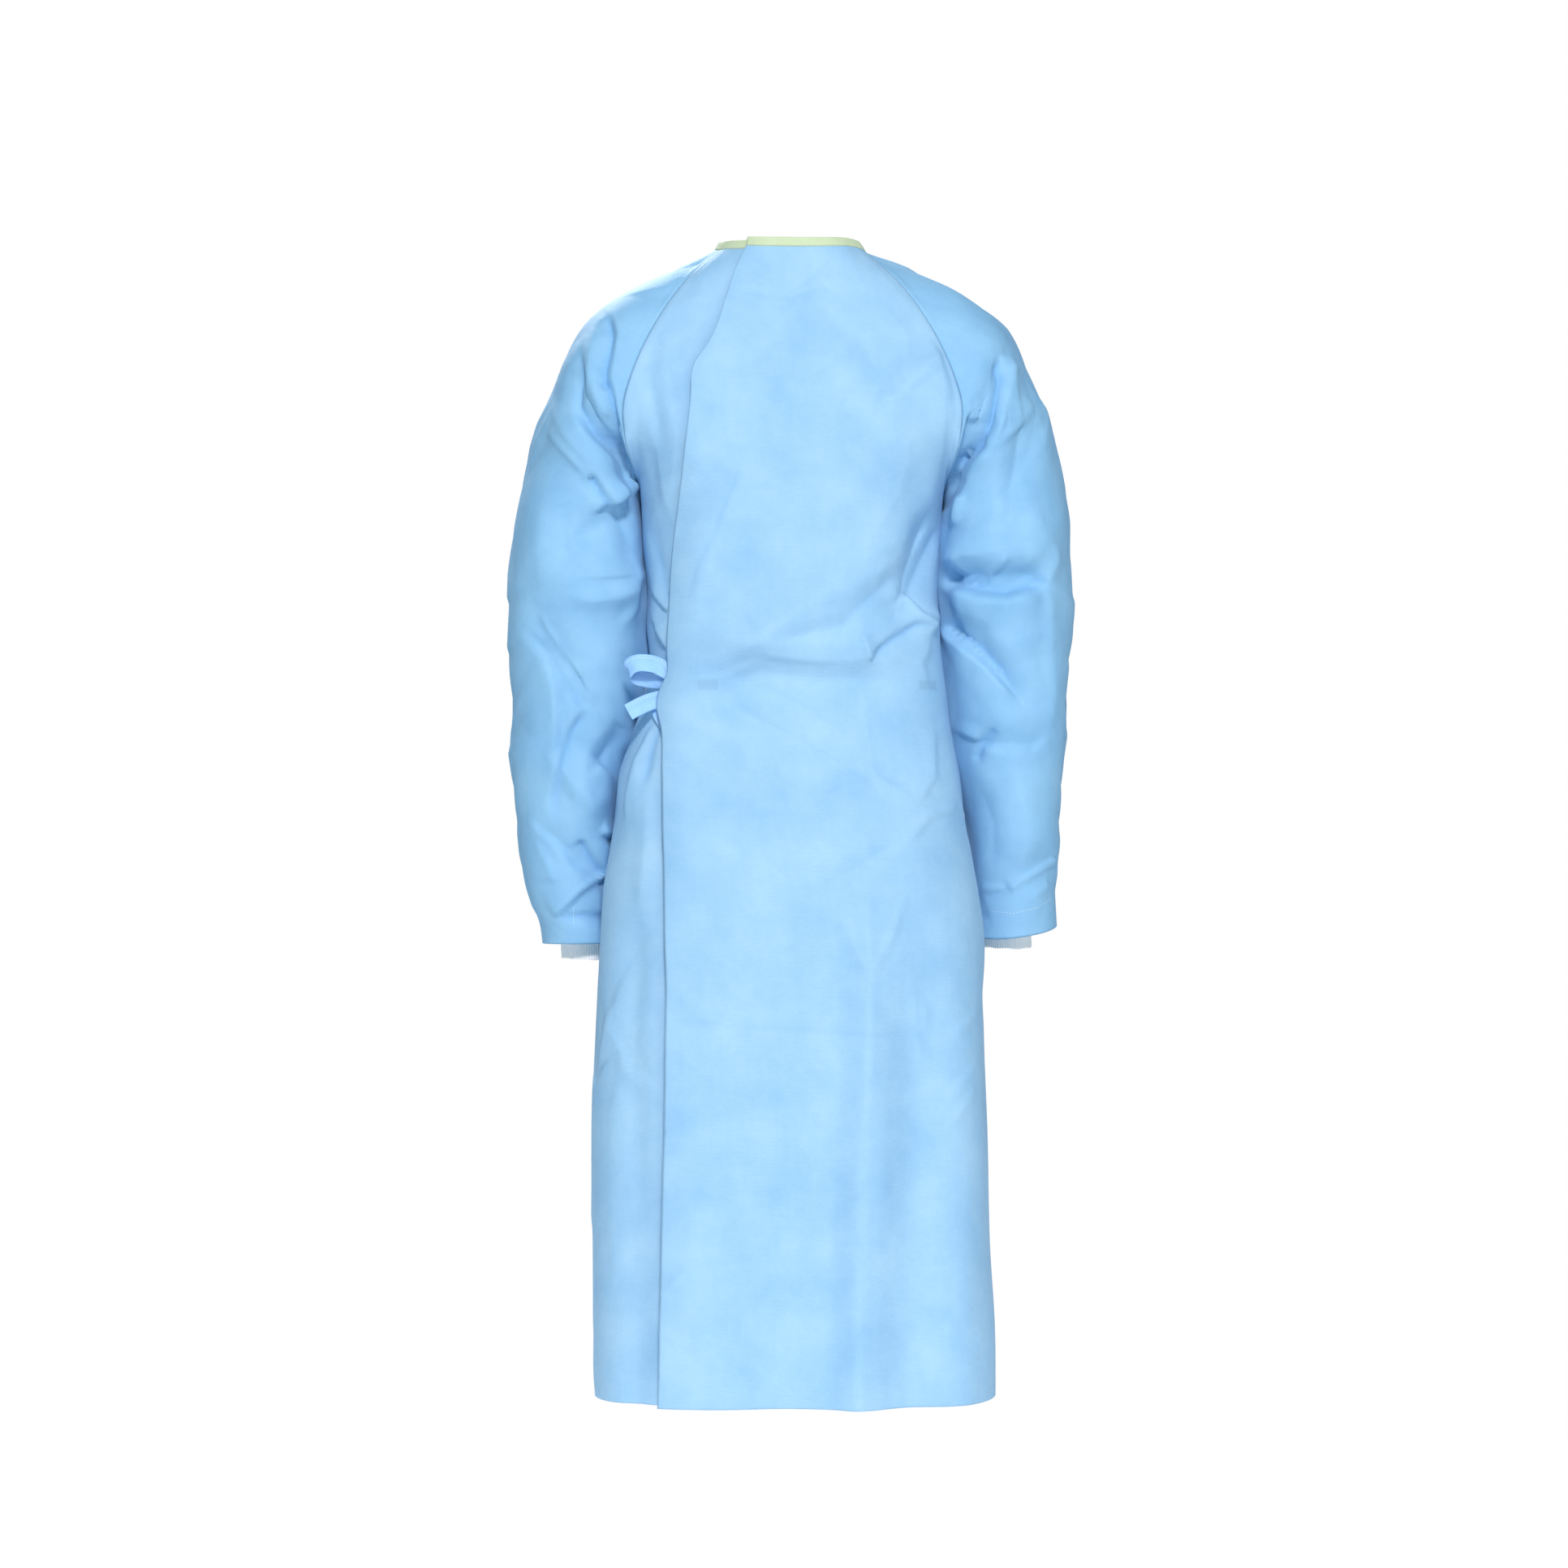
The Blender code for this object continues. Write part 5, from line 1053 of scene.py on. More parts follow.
def tube_object(name, rings, flat, closed=False):
    """A mesh of a stack of rings. flat has each point's place on the flat cloth."""
    points = np.vstack(rings)
    faces = outward_faces(points, tube(rings, closed))
    return new_object(name, points, faces, flat[[i for face in faces for i in face]])


Ripple = namedtuple("Ripple", "height waves start")
CUFF_LOOSE = (Ripple(0.00055, 3, 0.8), Ripple(0.0004, 5, 2.1))  # how unevenly it stands out round its end
CUFF_HANG = (Ripple(0.0007, 2, 0.5), Ripple(0.0004, 7, 0.0))  # and hangs down there
CUFF_RIB_HANG = 0.00025
CUFF_COLUMNS = 434
CUFF_RIBS = 62
CUFF_RIB_DEPTH = 0.00030
CUFF_ROWS = 22
CUFF_ROLL = 7  # rows round its rolled edge


def rippled(ripples, angles):
    return sum(ripple.height * np.sin(ripple.waves * angles + ripple.start) for ripple in ripples)


def make_cuff(side, sleeve_end):
    """A ribbed knit tube with a rounded edge, a little uneven where it shows."""
    cuff = CUFFS[side]
    out = -1.0 if side == "left" else 1.0
    top, bottom = sleeve_end + CUFF_HIDDEN, sleeve_end - CUFF_SHOWS
    half = KNIT / 2
    profile = [(0.0, z) for z in np.linspace(top, bottom + half, CUFF_ROWS)]
    for turn in np.linspace(0.0, math.pi, CUFF_ROLL)[1:-1]:
        profile.append((half - half * math.cos(turn), bottom + half - half * math.sin(turn)))
    profile += [(KNIT, z) for z in np.linspace(bottom + half, top, CUFF_ROWS)]
    angles = np.linspace(0.0, 2 * math.pi, CUFF_COLUMNS, endpoint=False)
    ribs = CUFF_RIB_DEPTH * np.cos(CUFF_RIBS * angles)
    loose = rippled(CUFF_LOOSE, angles)
    hang = rippled(CUFF_HANG, angles) + CUFF_RIB_HANG * np.cos(CUFF_RIBS * angles)
    rings, uvs = [], []
    for inset, z in profile:
        low = smoothstep(sleeve_end, bottom, z)
        off = ribs + loose * low - inset
        x = out * cuff.x + (cuff.half_x + off) * np.cos(angles)
        y = cuff.y + (cuff.half_y + off) * np.sin(angles)
        rings.append(np.stack([x, y, z + hang * low], axis=1))
        uvs.append(np.stack([angles * cuff.half_x, np.full(len(angles), z)], axis=1))
    return tube_object(f"cuff_{side}_knit", rings, np.vstack(uvs), closed=True)


RISE_ROWS = 6
SAME_PLACE = 1e-5  # points of the neckline nearer to each other than this are one
NECK_ORDER = [
    ("back_panel_right", 1),
    ("sleeve_right", 1),
    ("front_panel", -1),
    ("sleeve_left", -1),
    ("back_panel_left", 1),
]


def neck_line(panels):
    """The neckline from the outer free edge round to the inner one, and how the cloth rises and faces."""
    line, rise, outward = [], [], []
    for name, way in NECK_ORDER:
        panel = panels[name]
        line.append(panel.points[0][::way])
        rise.append(unit(panel.points[0] - panel.points[RISE_ROWS])[::way])
        outward.append(panel.normals()[1][::way])
    line, rise, outward = np.vstack(line), np.vstack(rise), np.vstack(outward)
    steps = np.linalg.norm(np.diff(line, axis=0), axis=1)
    keep = np.concatenate([[True], steps > SAME_PLACE])
    line, rise, outward = line[keep], rise[keep], outward[keep]
    along = lengths_along(line)
    at = np.linspace(0.0, along[-1], BINDING_COLUMNS)
    line, rise, outward = (read_at(at, along, values) for values in (line, rise, outward))
    return at, line, unit(rise), unit(outward)


def smoothed(vectors, at, reach):
    """The vectors, each averaged with those around it within about that reach."""
    weights = np.exp(-(((at[:, None] - at[None, :]) / reach) ** 2))
    return unit(weights @ vectors)


BINDING_COLUMNS = 380
BINDING_DRAWN = 0.0021
BINDING_SECTION = 9  # points over its rounded top
BINDING_STITCH_AT = 0.0019  # above its foot
BINDING_OVERLAP = 0.0006  # how far its foot is below the neckline
BINDING_DIP, BINDING_BELLY = 0.8, 1.05  # its width at the stitches and half way up, to its width at its foot
BINDING_STITCH_SEAT = 0.86  # how far out the threads' middles are, as a share of half its width
RISE_SMOOTHED, OUTWARD_SMOOTHED = 0.030, 0.006
Pucker = namedtuple("Pucker", "share every")
BINDING_PUCKERS = (Pucker(0.07, 0.0034), Pucker(0.05, 0.021))


def make_binding(panels):
    """The bias strip on the neckline, with its row of stitches."""
    at, line, rise, outward = neck_line(panels)
    up = unit(smoothed(rise, at, RISE_SMOOTHED) + np.array([0.0, 0.0, 1.0]))
    outward = smoothed(outward, at, OUTWARD_SMOOTHED)
    along = unit(np.gradient(line, axis=0))
    face = unit(np.cross(up, along))
    face *= np.sign((face * outward).sum(axis=1))[:, None]
    foot = line - outward * EDGE_SHEET - up * BINDING_OVERLAP
    half = BINDING_DRAWN / 2
    pucker = 1.0
    for share, every in BINDING_PUCKERS:
        pucker = pucker + share * np.sin(2 * math.pi * at / every)
    dip, belly, belly_at = half * BINDING_DIP, half * BINDING_BELLY, BINDING_HEIGHT * 0.5
    section = [(0.0, -half), (0.0, half), (BINDING_STITCH_AT, dip), (belly_at, belly)]
    for turn in np.linspace(0.0, math.pi, BINDING_SECTION):
        section.append((BINDING_HEIGHT - half * (1.0 - math.sin(turn)), half * math.cos(turn)))
    section += [(belly_at, -belly), (BINDING_STITCH_AT, -dip)]
    rings = np.stack([foot + up * high + face * (out * pucker)[:, None] for high, out in section], axis=1)
    flat = np.array([[place, high] for place in at for high, _ in section])
    strip = tube_object("neck_binding_strip", rings, flat)
    seats = foot + up * BINDING_STITCH_AT
    off = face * half * BINDING_STITCH_SEAT
    outer = stitches("neck_binding_stitches", seats + off, face)
    inner = stitches("neck_binding_stitches_inside", seats - off, -face)
    return strip, outer, inner


THREAD_LENGTH = 0.0024
THREAD_GAP = 0.0009
THREAD_RADIUS = 0.00024
THREAD_SIDES = 6
# A thread's rings: how far along it they are, how wide they are and how high their middles lie, in radii.
THREAD_ALONG = np.array([0.0, 0.18, 0.5, 0.82, 1.0])
THREAD_WIDTHS = np.array([0.45, 0.95, 1.0, 0.95, 0.45])
THREAD_LIFTS = np.array([-0.9, 0.1, 0.35, 0.1, -0.9])


def stitches(name, path, outward):
    """A row of short round-ended threads along a path, lying on the cloth and dipping in at both ends."""
    steps = lengths_along(path)
    turns = np.linspace(0.0, 2 * math.pi, THREAD_SIDES, endpoint=False)[:, None]
    points, faces = [], []
    begin = THREAD_GAP
    while begin + THREAD_LENGTH < steps[-1]:
        at = begin + THREAD_LENGTH * THREAD_ALONG
        middle = read_at(at, steps, path)
        up = unit(read_at(at, steps, outward))
        side = unit(np.cross(unit(np.gradient(middle, axis=0)), up))
        middle = middle + up * (THREAD_LIFTS * THREAD_RADIUS)[:, None]
        first = len(points) * THREAD_SIDES
        for c, u, s, w in zip(middle, up, side, THREAD_WIDTHS):
            points.append(c + (u * np.cos(turns) + s * np.sin(turns)) * THREAD_RADIUS * w)
        ends = tube(points[-len(THREAD_ALONG) :], closed=False)
        faces += [[first + i for i in face] for face in ends]
        begin += THREAD_LENGTH + THREAD_GAP
    points = np.vstack(points)
    return new_object(name, points, outward_faces(points, faces))


TIE_DRAWN = 0.0009
TIE_COLUMNS = 96
TIE_ACROSS = 13
TIE_NARROWS_OVER = 0.016
TIE_AT_KNOT = 0.55  # how wide it is where the knot draws it in
TIE_PLEAT = 0.0011
TIE_PLEATS = 5  # half waves over its width
TIE_STITCH_AT = 0.30  # of its width, from its middle
TIE_EDGE_THINS, TIE_EDGE_POWER = 0.75, 8  # how far it thins at its edges, and how suddenly
TIE_CURL = 0.0007
TIE_RIPPLE, TIE_RIPPLE_EVERY, TIE_RIPPLE_SLANTS = 0.0004, 0.011, 3
PATH_STEPS = 40  # points of its smooth path for each row of its table


def smooth_path(path, widths, count):
    """A smooth curve through the path's points, and the widths blended along it."""
    ts = np.linspace(0, len(path) - 1, PATH_STEPS * len(path))
    slopes = np.gradient(path, axis=0)
    i = np.minimum(ts.astype(int), len(path) - 2)
    s = (ts - i)[:, None]
    begin, leave, end, arrive = curve_shares(s)
    curve = begin * path[i] + leave * slopes[i]
    curve += end * path[i + 1] + arrive * slopes[i + 1]
    turned = (1 - s) * widths[i] + s * widths[i + 1]
    along = lengths_along(curve)
    at = np.linspace(0.0, along[-1], count)
    return at, read_at(at, along, curve), read_at(at, along, turned)


def make_tie(name, both_ends):
    """A folded strip, drawn in and pleated where it goes into the knot, with stitches near one edge."""
    table = np.array(TIES[name])
    at, path, widths = smooth_path(table[:, :3], table[:, 3:], TIE_COLUMNS)
    along = unit(np.gradient(path, axis=0))
    side = unit(widths - along * (widths * along).sum(axis=1)[:, None])
    face = np.cross(along, side)
    from_knot = np.minimum(at, at[-1] - at) if both_ends else at
    drawn = 1.0 - smoothstep(0.0, TIE_NARROWS_OVER, from_knot)
    width = TIE_WIDTH * (1.0 - (1.0 - TIE_AT_KNOT) * drawn)

    def bent(share):
        """How far the strip's curl and its pleats take it off its path, at that share of its width."""
        ripple = TIE_RIPPLE * np.sin(at / TIE_RIPPLE_EVERY + TIE_RIPPLE_SLANTS * share)
        curl = TIE_CURL * math.cos(math.pi * 2 * share) + ripple
        return curl, TIE_PLEAT * drawn * math.cos(TIE_PLEATS * math.pi * share)

    shares = np.linspace(-0.5, 0.5, TIE_ACROSS)
    rings = []
    for layer in (1.0, -1.0):
        for share in shares if layer > 0 else shares[::-1]:
            edge = 1.0 - TIE_EDGE_THINS * (2 * abs(share)) ** TIE_EDGE_POWER
            curl, pleat = bent(share)
            off = layer * TIE_DRAWN / 2 * edge + curl + pleat
            rings.append(path + side * (width * share)[:, None] + face * off[:, None])
    over = np.concatenate([shares, shares[::-1]]) * TIE_WIDTH
    flat = np.array([[across_it, place] for place in at for across_it in over])
    strip = tube_object(name + "_strip", np.stack(rings, axis=1), flat)
    curl, pleat = bent(TIE_STITCH_AT)
    rows = []
    for layer, label in ((1.0, "stitches"), (-1.0, "stitches_under")):
        off = curl + pleat + layer * TIE_DRAWN / 2
        seats = path + side * (width * TIE_STITCH_AT)[:, None] + face * off[:, None]
        rows.append(stitches(f"{name}_{label}", seats, face * layer))
    return strip, rows, at[-1]


KNOT_ROWS, KNOT_COLUMNS = 34, 44
KNOT_ENDS_AT = 0.02  # the angle from its poles to its first and last ring
KNOT_SLANT_X, KNOT_SLANT_Z = 0.5, 0.85  # which way the strip's turns run over it
KNOT_TURNS, KNOT_TURNS_FROM, KNOT_TURN_ROUND = 4.6, 0.6, 0.6
KNOT_LOW, KNOT_RISE = 0.88, 0.10  # how far out it is between its turns, and how much further on them
KNOT_PINCH, KNOT_PINCH_SPREAD = 0.16, 0.25  # how far it is drawn in round its middle


def make_knot():
    """A plain knot of the same strip: a rounded lump with the strip's turns over it."""
    low, high = (np.array(corner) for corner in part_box("tie_knot"))
    middle, half = (low + high) / 2, (high - low) / 2
    around = np.linspace(0.0, 2 * math.pi, KNOT_COLUMNS, endpoint=False)
    rings = []
    for turn in np.linspace(KNOT_ENDS_AT, math.pi - KNOT_ENDS_AT, KNOT_ROWS):
        x, y = np.cos(around) * math.sin(turn), np.sin(around) * math.sin(turn)
        z = np.full(KNOT_COLUMNS, math.cos(turn))
        slant = z * KNOT_SLANT_Z + x * KNOT_SLANT_X
        over = np.abs(np.sin(slant * KNOT_TURNS + KNOT_TURNS_FROM)) ** KNOT_TURN_ROUND
        pinch = 1.0 - KNOT_PINCH * np.exp(-((z / KNOT_PINCH_SPREAD) ** 2))
        out = (KNOT_LOW + KNOT_RISE * over) * pinch
        rings.append(middle + np.stack([x, y, z], axis=1) * half * out[:, None])
    return tube_object("tie_knot_lump", rings, np.vstack(rings)[:, [0, 2]])


# Rows of stitches on the sleeves' backs, by the names of their pieces.
Line = namedtuple("Line", "panel path")
SEWN_LINES = {
    "sleeve_right_hem_stitches": Line("sleeve_right", ((205, -669), (226, -671), (252, -665), (268, -656))),
    "sleeve_left_seam_stitches": Line("sleeve_left", ((-219, -664), (-219, -682))),
}
SEWN_FACING = 0.1  # how squarely the cloth under them faces the back at least
SEWN_STEP = 0.0015
SEWN_NEAR = 6  # how many points of the cloth give a stitch its depth
SEWN_EASE = 0.0004  # added to their distances, so that none counts alone


def make_sewn_line(name, line, panels):
    """A row of stitches on a panel, drawn where its path lies as seen from behind."""
    panel = panels[line.panel]
    normals = panel.normals()
    facing = -normals[..., 1] > SEWN_FACING
    points, normals = panel.points[facing], normals[facing]
    path = np.array(line.path, float) * MM
    steps = lengths_along(path)
    at = np.linspace(0.0, steps[-1], max(int(steps[-1] / SEWN_STEP), 3))
    seats, ups = [], []
    for spot in read_at(at, steps, path):
        away = np.linalg.norm(points[:, [0, 2]] - spot, axis=1)
        near = np.argsort(away)[:SEWN_NEAR]
        weight = 1.0 / (away[near] + SEWN_EASE)
        y = (points[near, 1] * weight).sum() / weight.sum()
        ups.append(unit((normals[near] * weight[:, None]).sum(axis=0)))
        seats.append([spot[0], y, spot[1]])
    return stitches(name, np.array(seats), np.array(ups))


# ---------------------------------------------------------------- materials


SPECULAR = 0.28
SHEEN_ROUGHNESS = 0.45
SHEEN_TINT = (0.82, 0.85, 1.0)


class Nodes:
    """A little help for writing a material's nodes."""

    def __init__(self, name):
        self.material = bpy.data.materials.new(name)
        self.material.use_nodes = True
        self.tree = self.material.node_tree
        self.shader = self.tree.nodes["Principled BSDF"]

    def put(self, node, inputs):
        """Links or sets the inputs of a node."""
        for key, value in inputs.items():
            if isinstance(value, bpy.types.NodeSocket):
                self.tree.links.new(value, node.inputs[key])
            else:
                node.inputs[key].default_value = value

    def add(self, kind, inputs=None, **settings):
        node = self.tree.nodes.new(kind)
        for key, value in settings.items():
            setattr(node, key, value)
        self.put(node, inputs or {})
        return node

    def maths(self, operation, *values, clamp=False):
        inputs = dict(enumerate(values))
        return self.add("ShaderNodeMath", inputs, operation=operation, use_clamp=clamp).outputs[0]

    def sum_of(self, start, *parts):
        """The start and every value times its weight."""
        for value, weight in parts:
            start = self.maths("MULTIPLY_ADD", value, weight, start)
        return start

    def noise(self, place, scale, detail=4.0, roughness=0.6):
        inputs = {"Vector": place, "Scale": scale, "Detail": detail, "Roughness": roughness}
        return self.add("ShaderNodeTexNoise", inputs).outputs["Fac"]

    def streaks(self, place, squeeze, scale):
        """Noise that is drawn out along the cloth."""
        inputs = {"Vector": place, "Scale": (1.0, squeeze, 1.0)}
        return self.noise(self.add("ShaderNodeMapping", inputs).outputs["Vector"], scale, detail=3.0)

    def uv(self):
        """The place on the flat cloth, in metres, and its two parts."""
        place = self.add("ShaderNodeUVMap", uv_map="cloth").outputs["UV"]
        parts = self.add("ShaderNodeSeparateXYZ", {0: place})
        return place, parts.outputs["X"], parts.outputs["Y"]

    def in_space(self):
        return self.add("ShaderNodeTexCoord").outputs["Object"]

    def kept(self, name):
        """A number that the mesh keeps at each point."""
        return self.add("ShaderNodeAttribute", attribute_name=name).outputs["Fac"]

    def colour(self, amount, dark, light):
        """A colour between the two by that amount. The first may come from other nodes."""
        if not isinstance(dark, bpy.types.NodeSocket):
            dark = (*dark, 1.0)
        inputs = {"Factor": amount, "A": dark, "B": (*light, 1.0)}
        return self.add("ShaderNodeMix", inputs, data_type="RGBA", clamp_factor=True).outputs["Result"]

    def scaled(self, colour, amount):
        inputs = {0: colour, "Scale": amount}
        return self.add("ShaderNodeVectorMath", inputs, operation="SCALE").outputs["Vector"]

    def bump(self, height, distance, strength=1.0, below=None):
        inputs = {"Height": height, "Distance": distance, "Strength": strength}
        if below is not None:
            inputs["Normal"] = below
        return self.add("ShaderNodeBump", inputs).outputs["Normal"]

    def finish(self, colour, normal, roughness, sheen, tint=SHEEN_TINT):
        inputs = {
            "Base Color": colour,
            "Normal": normal,
            "Roughness": roughness,
            "Specular IOR Level": SPECULAR,
            "Sheen Weight": sheen,
            "Sheen Roughness": SHEEN_ROUGHNESS,
            "Sheen Tint": (*tint, 1.0),
        }
        self.put(self.shader, inputs)
        return self.material


def wave(nodes, along, period):
    """A sine wave along that coordinate, from 0 to 1."""
    turned = nodes.maths("MULTIPLY", along, 2 * math.pi / period)
    return nodes.maths("MULTIPLY_ADD", nodes.maths("SINE", turned), 0.5, 0.5)


def below(nodes, value, limit, soft):
    """1 where the value is below the limit and 0 above it, blended over soft."""
    return nodes.maths("MULTIPLY_ADD", value, -1.0 / soft, limit / soft + 0.5, clamp=True)


def crossed(nodes, u, v, period):
    """Points where two slanted waves cross."""
    rising = wave(nodes, nodes.maths("ADD", u, v), period)
    falling = wave(nodes, nodes.maths("SUBTRACT", u, v), period)
    return nodes.maths("MULTIPLY", rising, falling)


def beyond(nodes, value, middle, half):
    """How far the value is outside the stretch of that half length about the middle."""
    away = nodes.maths("ABSOLUTE", nodes.maths("SUBTRACT", value, middle))
    return nodes.maths("SUBTRACT", away, half)


# Each material's light and dark colours.
BODY_COLOURS = (0.40, 0.61, 0.80), (0.255, 0.47, 0.71)
SLEEVE_COLOURS = (0.35, 0.60, 0.82), (0.22, 0.455, 0.71)
KNIT_COLOURS = (0.98, 0.95, 0.92), (0.90, 0.84, 0.82)
BINDING_COLOURS = (0.70, 0.76, 0.53), (0.56, 0.63, 0.38)
TIE_COLOURS = (0.40, 0.65, 0.97), (0.29, 0.53, 0.92)
PALE_THREAD_COLOURS = (0.90, 0.94, 0.98), (0.74, 0.82, 0.90)
TAPE_THREAD_COLOURS = (0.84, 0.88, 0.70), (0.66, 0.74, 0.52)
# Painted shade in the creases: a deep saturated blue that the troughs' colour is mixed towards.
CREASE_SHADE_COLOUR = (0.13, 0.36, 0.74)
CREASE_SHADE = 0.42  # how far the painted shade takes a deep trough's colour towards the crease shade colour

RIB_PERIOD = 0.0013
RIB_WOBBLE = 0.0006
TWILL_PERIOD = 0.0017
KNIT_STITCH_PERIOD = 0.00125
KNIT_STITCH_SLANT = 0.0012
TAPE_PERIOD = 0.0007

RIB_DEPTH = 0.00007
POINT_DEPTH = 0.00017
FIBRE_DEPTH = 0.00016
CRINKLE_DEPTH = 0.0009
KNIT_DEPTH, FUZZ_DEPTH = 0.00035, 0.00012
TAPE_DEPTH, TAPE_CRINKLE_DEPTH = 0.00010, 0.0006
TIE_CRINKLE_DEPTH, TIE_RIB_DEPTH, TIE_STREAK_DEPTH = 0.0007, 0.00006, 0.00012
PLY_DEPTH = 0.00008

SEAM_BAND = 0.0065  # the seam allowance, which shows through beside a raglan seam
SEAM_BAND_SOFT = 0.0012
SEAM_BAND_FROM_Z, SEAM_BAND_TO_Z = -0.150, -0.070
SEAM_BAND_SHADE = 0.06
SEAM_LINE, SEAM_LINE_SOFT = 0.0009, 0.0009
SEAM_LINE_SHADE = 0.05
BEHIND_SOFT = 0.01

Mark = namedtuple("Mark", "x z half_x half_z shade")
TACK_MARKS = [Mark(-0.0805, -0.4415, 0.0100, 0.0054, 0.07), Mark(0.1375, -0.4420, 0.0088, 0.0045, 0.11)]
MARK_SOFT = 0.0016


def body_marks(nodes, seam):
    """Where the body is darker, and how much: beside the raglan seams and at the tacks behind the waist."""
    spot = nodes.add("ShaderNodeSeparateXYZ", {0: nodes.in_space()})
    x, y, z = (spot.outputs[axis] for axis in "XYZ")
    inputs = {"Value": z, "From Min": SEAM_BAND_FROM_Z, "From Max": SEAM_BAND_TO_Z}
    high = nodes.add("ShaderNodeMapRange", inputs).outputs["Result"]
    marks = [(nodes.maths("MULTIPLY", below(nodes, seam, SEAM_BAND, SEAM_BAND_SOFT), high), SEAM_BAND_SHADE)]
    behind = below(nodes, y, 0.0, BEHIND_SOFT)
    for mark in TACK_MARKS:
        across_it = beyond(nodes, x, mark.x, mark.half_x)
        upright = beyond(nodes, z, mark.z, mark.half_z)
        inside = below(nodes, nodes.maths("MAXIMUM", across_it, upright), 0.0, MARK_SOFT)
        marks.append((nodes.maths("MULTIPLY", inside, behind), mark.shade))
    return marks


def cloth_material(name, colours, weave):
    """Matt nonwoven: cloudy, a little sheen, and fine level ribs or a diagonal point emboss."""
    light, dark = colours
    nodes = Nodes(name)
    place, u, v = nodes.uv()
    seam = nodes.kept("seam")
    shaded = [(below(nodes, seam, SEAM_LINE, SEAM_LINE_SOFT), SEAM_LINE_SHADE)]
    if weave == "ribs":
        wobble = nodes.noise(place, scale=90.0, detail=2.0)
        relief = wave(nodes, nodes.sum_of(v, (wobble, RIB_WOBBLE)), RIB_PERIOD)
        depth = RIB_DEPTH
        shaded += body_marks(nodes, seam)
    else:
        relief, depth = crossed(nodes, u, v, TWILL_PERIOD), POINT_DEPTH
    clouds = nodes.noise(place, scale=13.0, detail=6.0)
    fibres = nodes.noise(place, scale=480.0, detail=3.0, roughness=0.7)
    streaks = nodes.streaks(place, squeeze=0.12, scale=160.0)
    amount = nodes.sum_of(-0.70, (clouds, 1.7), (fibres, 0.25), (streaks, 0.20), (relief, 0.22))
    painted = nodes.colour(amount, dark, light)
    painted = nodes.scaled(painted, nodes.maths("SUBTRACT", 1.0, nodes.sum_of(0.0, *shaded)))
    # Painted shade: the colour is mixed towards a deep blue along the creases' troughs.
    creased = nodes.maths("MULTIPLY", nodes.kept("creased"), CREASE_SHADE)
    painted = nodes.colour(creased, painted, CREASE_SHADE_COLOUR)
    normal = nodes.bump(nodes.noise(place, scale=34.0, roughness=0.55), CRINKLE_DEPTH)
    normal = nodes.bump(relief, depth, below=normal)
    normal = nodes.bump(fibres, FIBRE_DEPTH, below=normal)
    return nodes.finish(painted, normal, roughness=nodes.sum_of(0.54, (fibres, 0.16)), sheen=0.07)


def knit_material():
    """White rib knit: columns of small slanted stitches, darker between the ribs."""
    light, dark = KNIT_COLOURS
    nodes = Nodes("cuff_knit")
    place, u, v = nodes.uv()
    column = wave(nodes, u, 2 * math.pi * CUFFS["left"].half_x / CUFF_RIBS)
    off_middle = nodes.maths("ABSOLUTE", nodes.maths("SUBTRACT", column, 0.5))
    stitch = wave(nodes, nodes.sum_of(v, (off_middle, KNIT_STITCH_SLANT)), KNIT_STITCH_PERIOD)
    relief = nodes.sum_of(0.0, (stitch, 0.4), (column, 0.6))
    fuzz = nodes.noise(place, scale=900.0, detail=3.0, roughness=0.7)
    painted = nodes.colour(nodes.sum_of(0.0, (fuzz, 0.3), (relief, 0.8)), dark, light)
    normal = nodes.bump(fuzz, FUZZ_DEPTH, below=nodes.bump(relief, KNIT_DEPTH))
    return nodes.finish(painted, normal, roughness=0.85, sheen=0.35, tint=(1.0, 1.0, 1.0))


def binding_material():
    """Pale yellow-green bias tape with a fine slanted weave."""
    light, dark = BINDING_COLOURS
    nodes = Nodes("binding_tape")
    place, u, v = nodes.uv()
    weave = crossed(nodes, u, v, TAPE_PERIOD)
    clouds = nodes.noise(place, scale=60.0)
    painted = nodes.colour(nodes.sum_of(0.0, (weave, 0.35), (clouds, 0.7)), dark, light)
    normal = nodes.bump(clouds, TAPE_CRINKLE_DEPTH, below=nodes.bump(weave, TAPE_DEPTH))
    return nodes.finish(painted, normal, roughness=0.72, sheen=0.15, tint=(1.0, 1.0, 0.9))


def tie_material():
    """The ties' nonwoven: a little lighter, with streaks along the strip."""
    light, dark = TIE_COLOURS
    nodes = Nodes("tie_nonwoven")
    place, _, v = nodes.uv()
    clouds = nodes.noise(place, scale=90.0)
    streaks = nodes.streaks(place, squeeze=0.1, scale=700.0)
    painted = nodes.colour(nodes.sum_of(0.0, (streaks, 0.3), (clouds, 0.6)), dark, light)
    normal = nodes.bump(clouds, TIE_CRINKLE_DEPTH)
    normal = nodes.bump(wave(nodes, v, RIB_PERIOD), TIE_RIB_DEPTH, below=normal)
    normal = nodes.bump(streaks, TIE_STREAK_DEPTH, below=normal)
    return nodes.finish(painted, normal, roughness=0.6, sheen=0.2)


def thread_material(name, colours):
    """Sewing thread, twisted from two plies."""
    light, dark = colours
    nodes = Nodes(name)
    plies = nodes.noise(nodes.in_space(), scale=2500.0, detail=2.0)
    painted = nodes.colour(plies, dark, light)
    return nodes.finish(painted, nodes.bump(plies, PLY_DEPTH), roughness=0.5, sheen=0.1)


# ---------------------------------------------------------------- the stage


CAMERA_PLACE = (-0.0056, -4.61, -0.540)
CAMERA_TURN = (math.pi / 2, 0.0, 0.0)
CAMERA_LENS, CAMERA_SENSOR = 104.8, 36.0


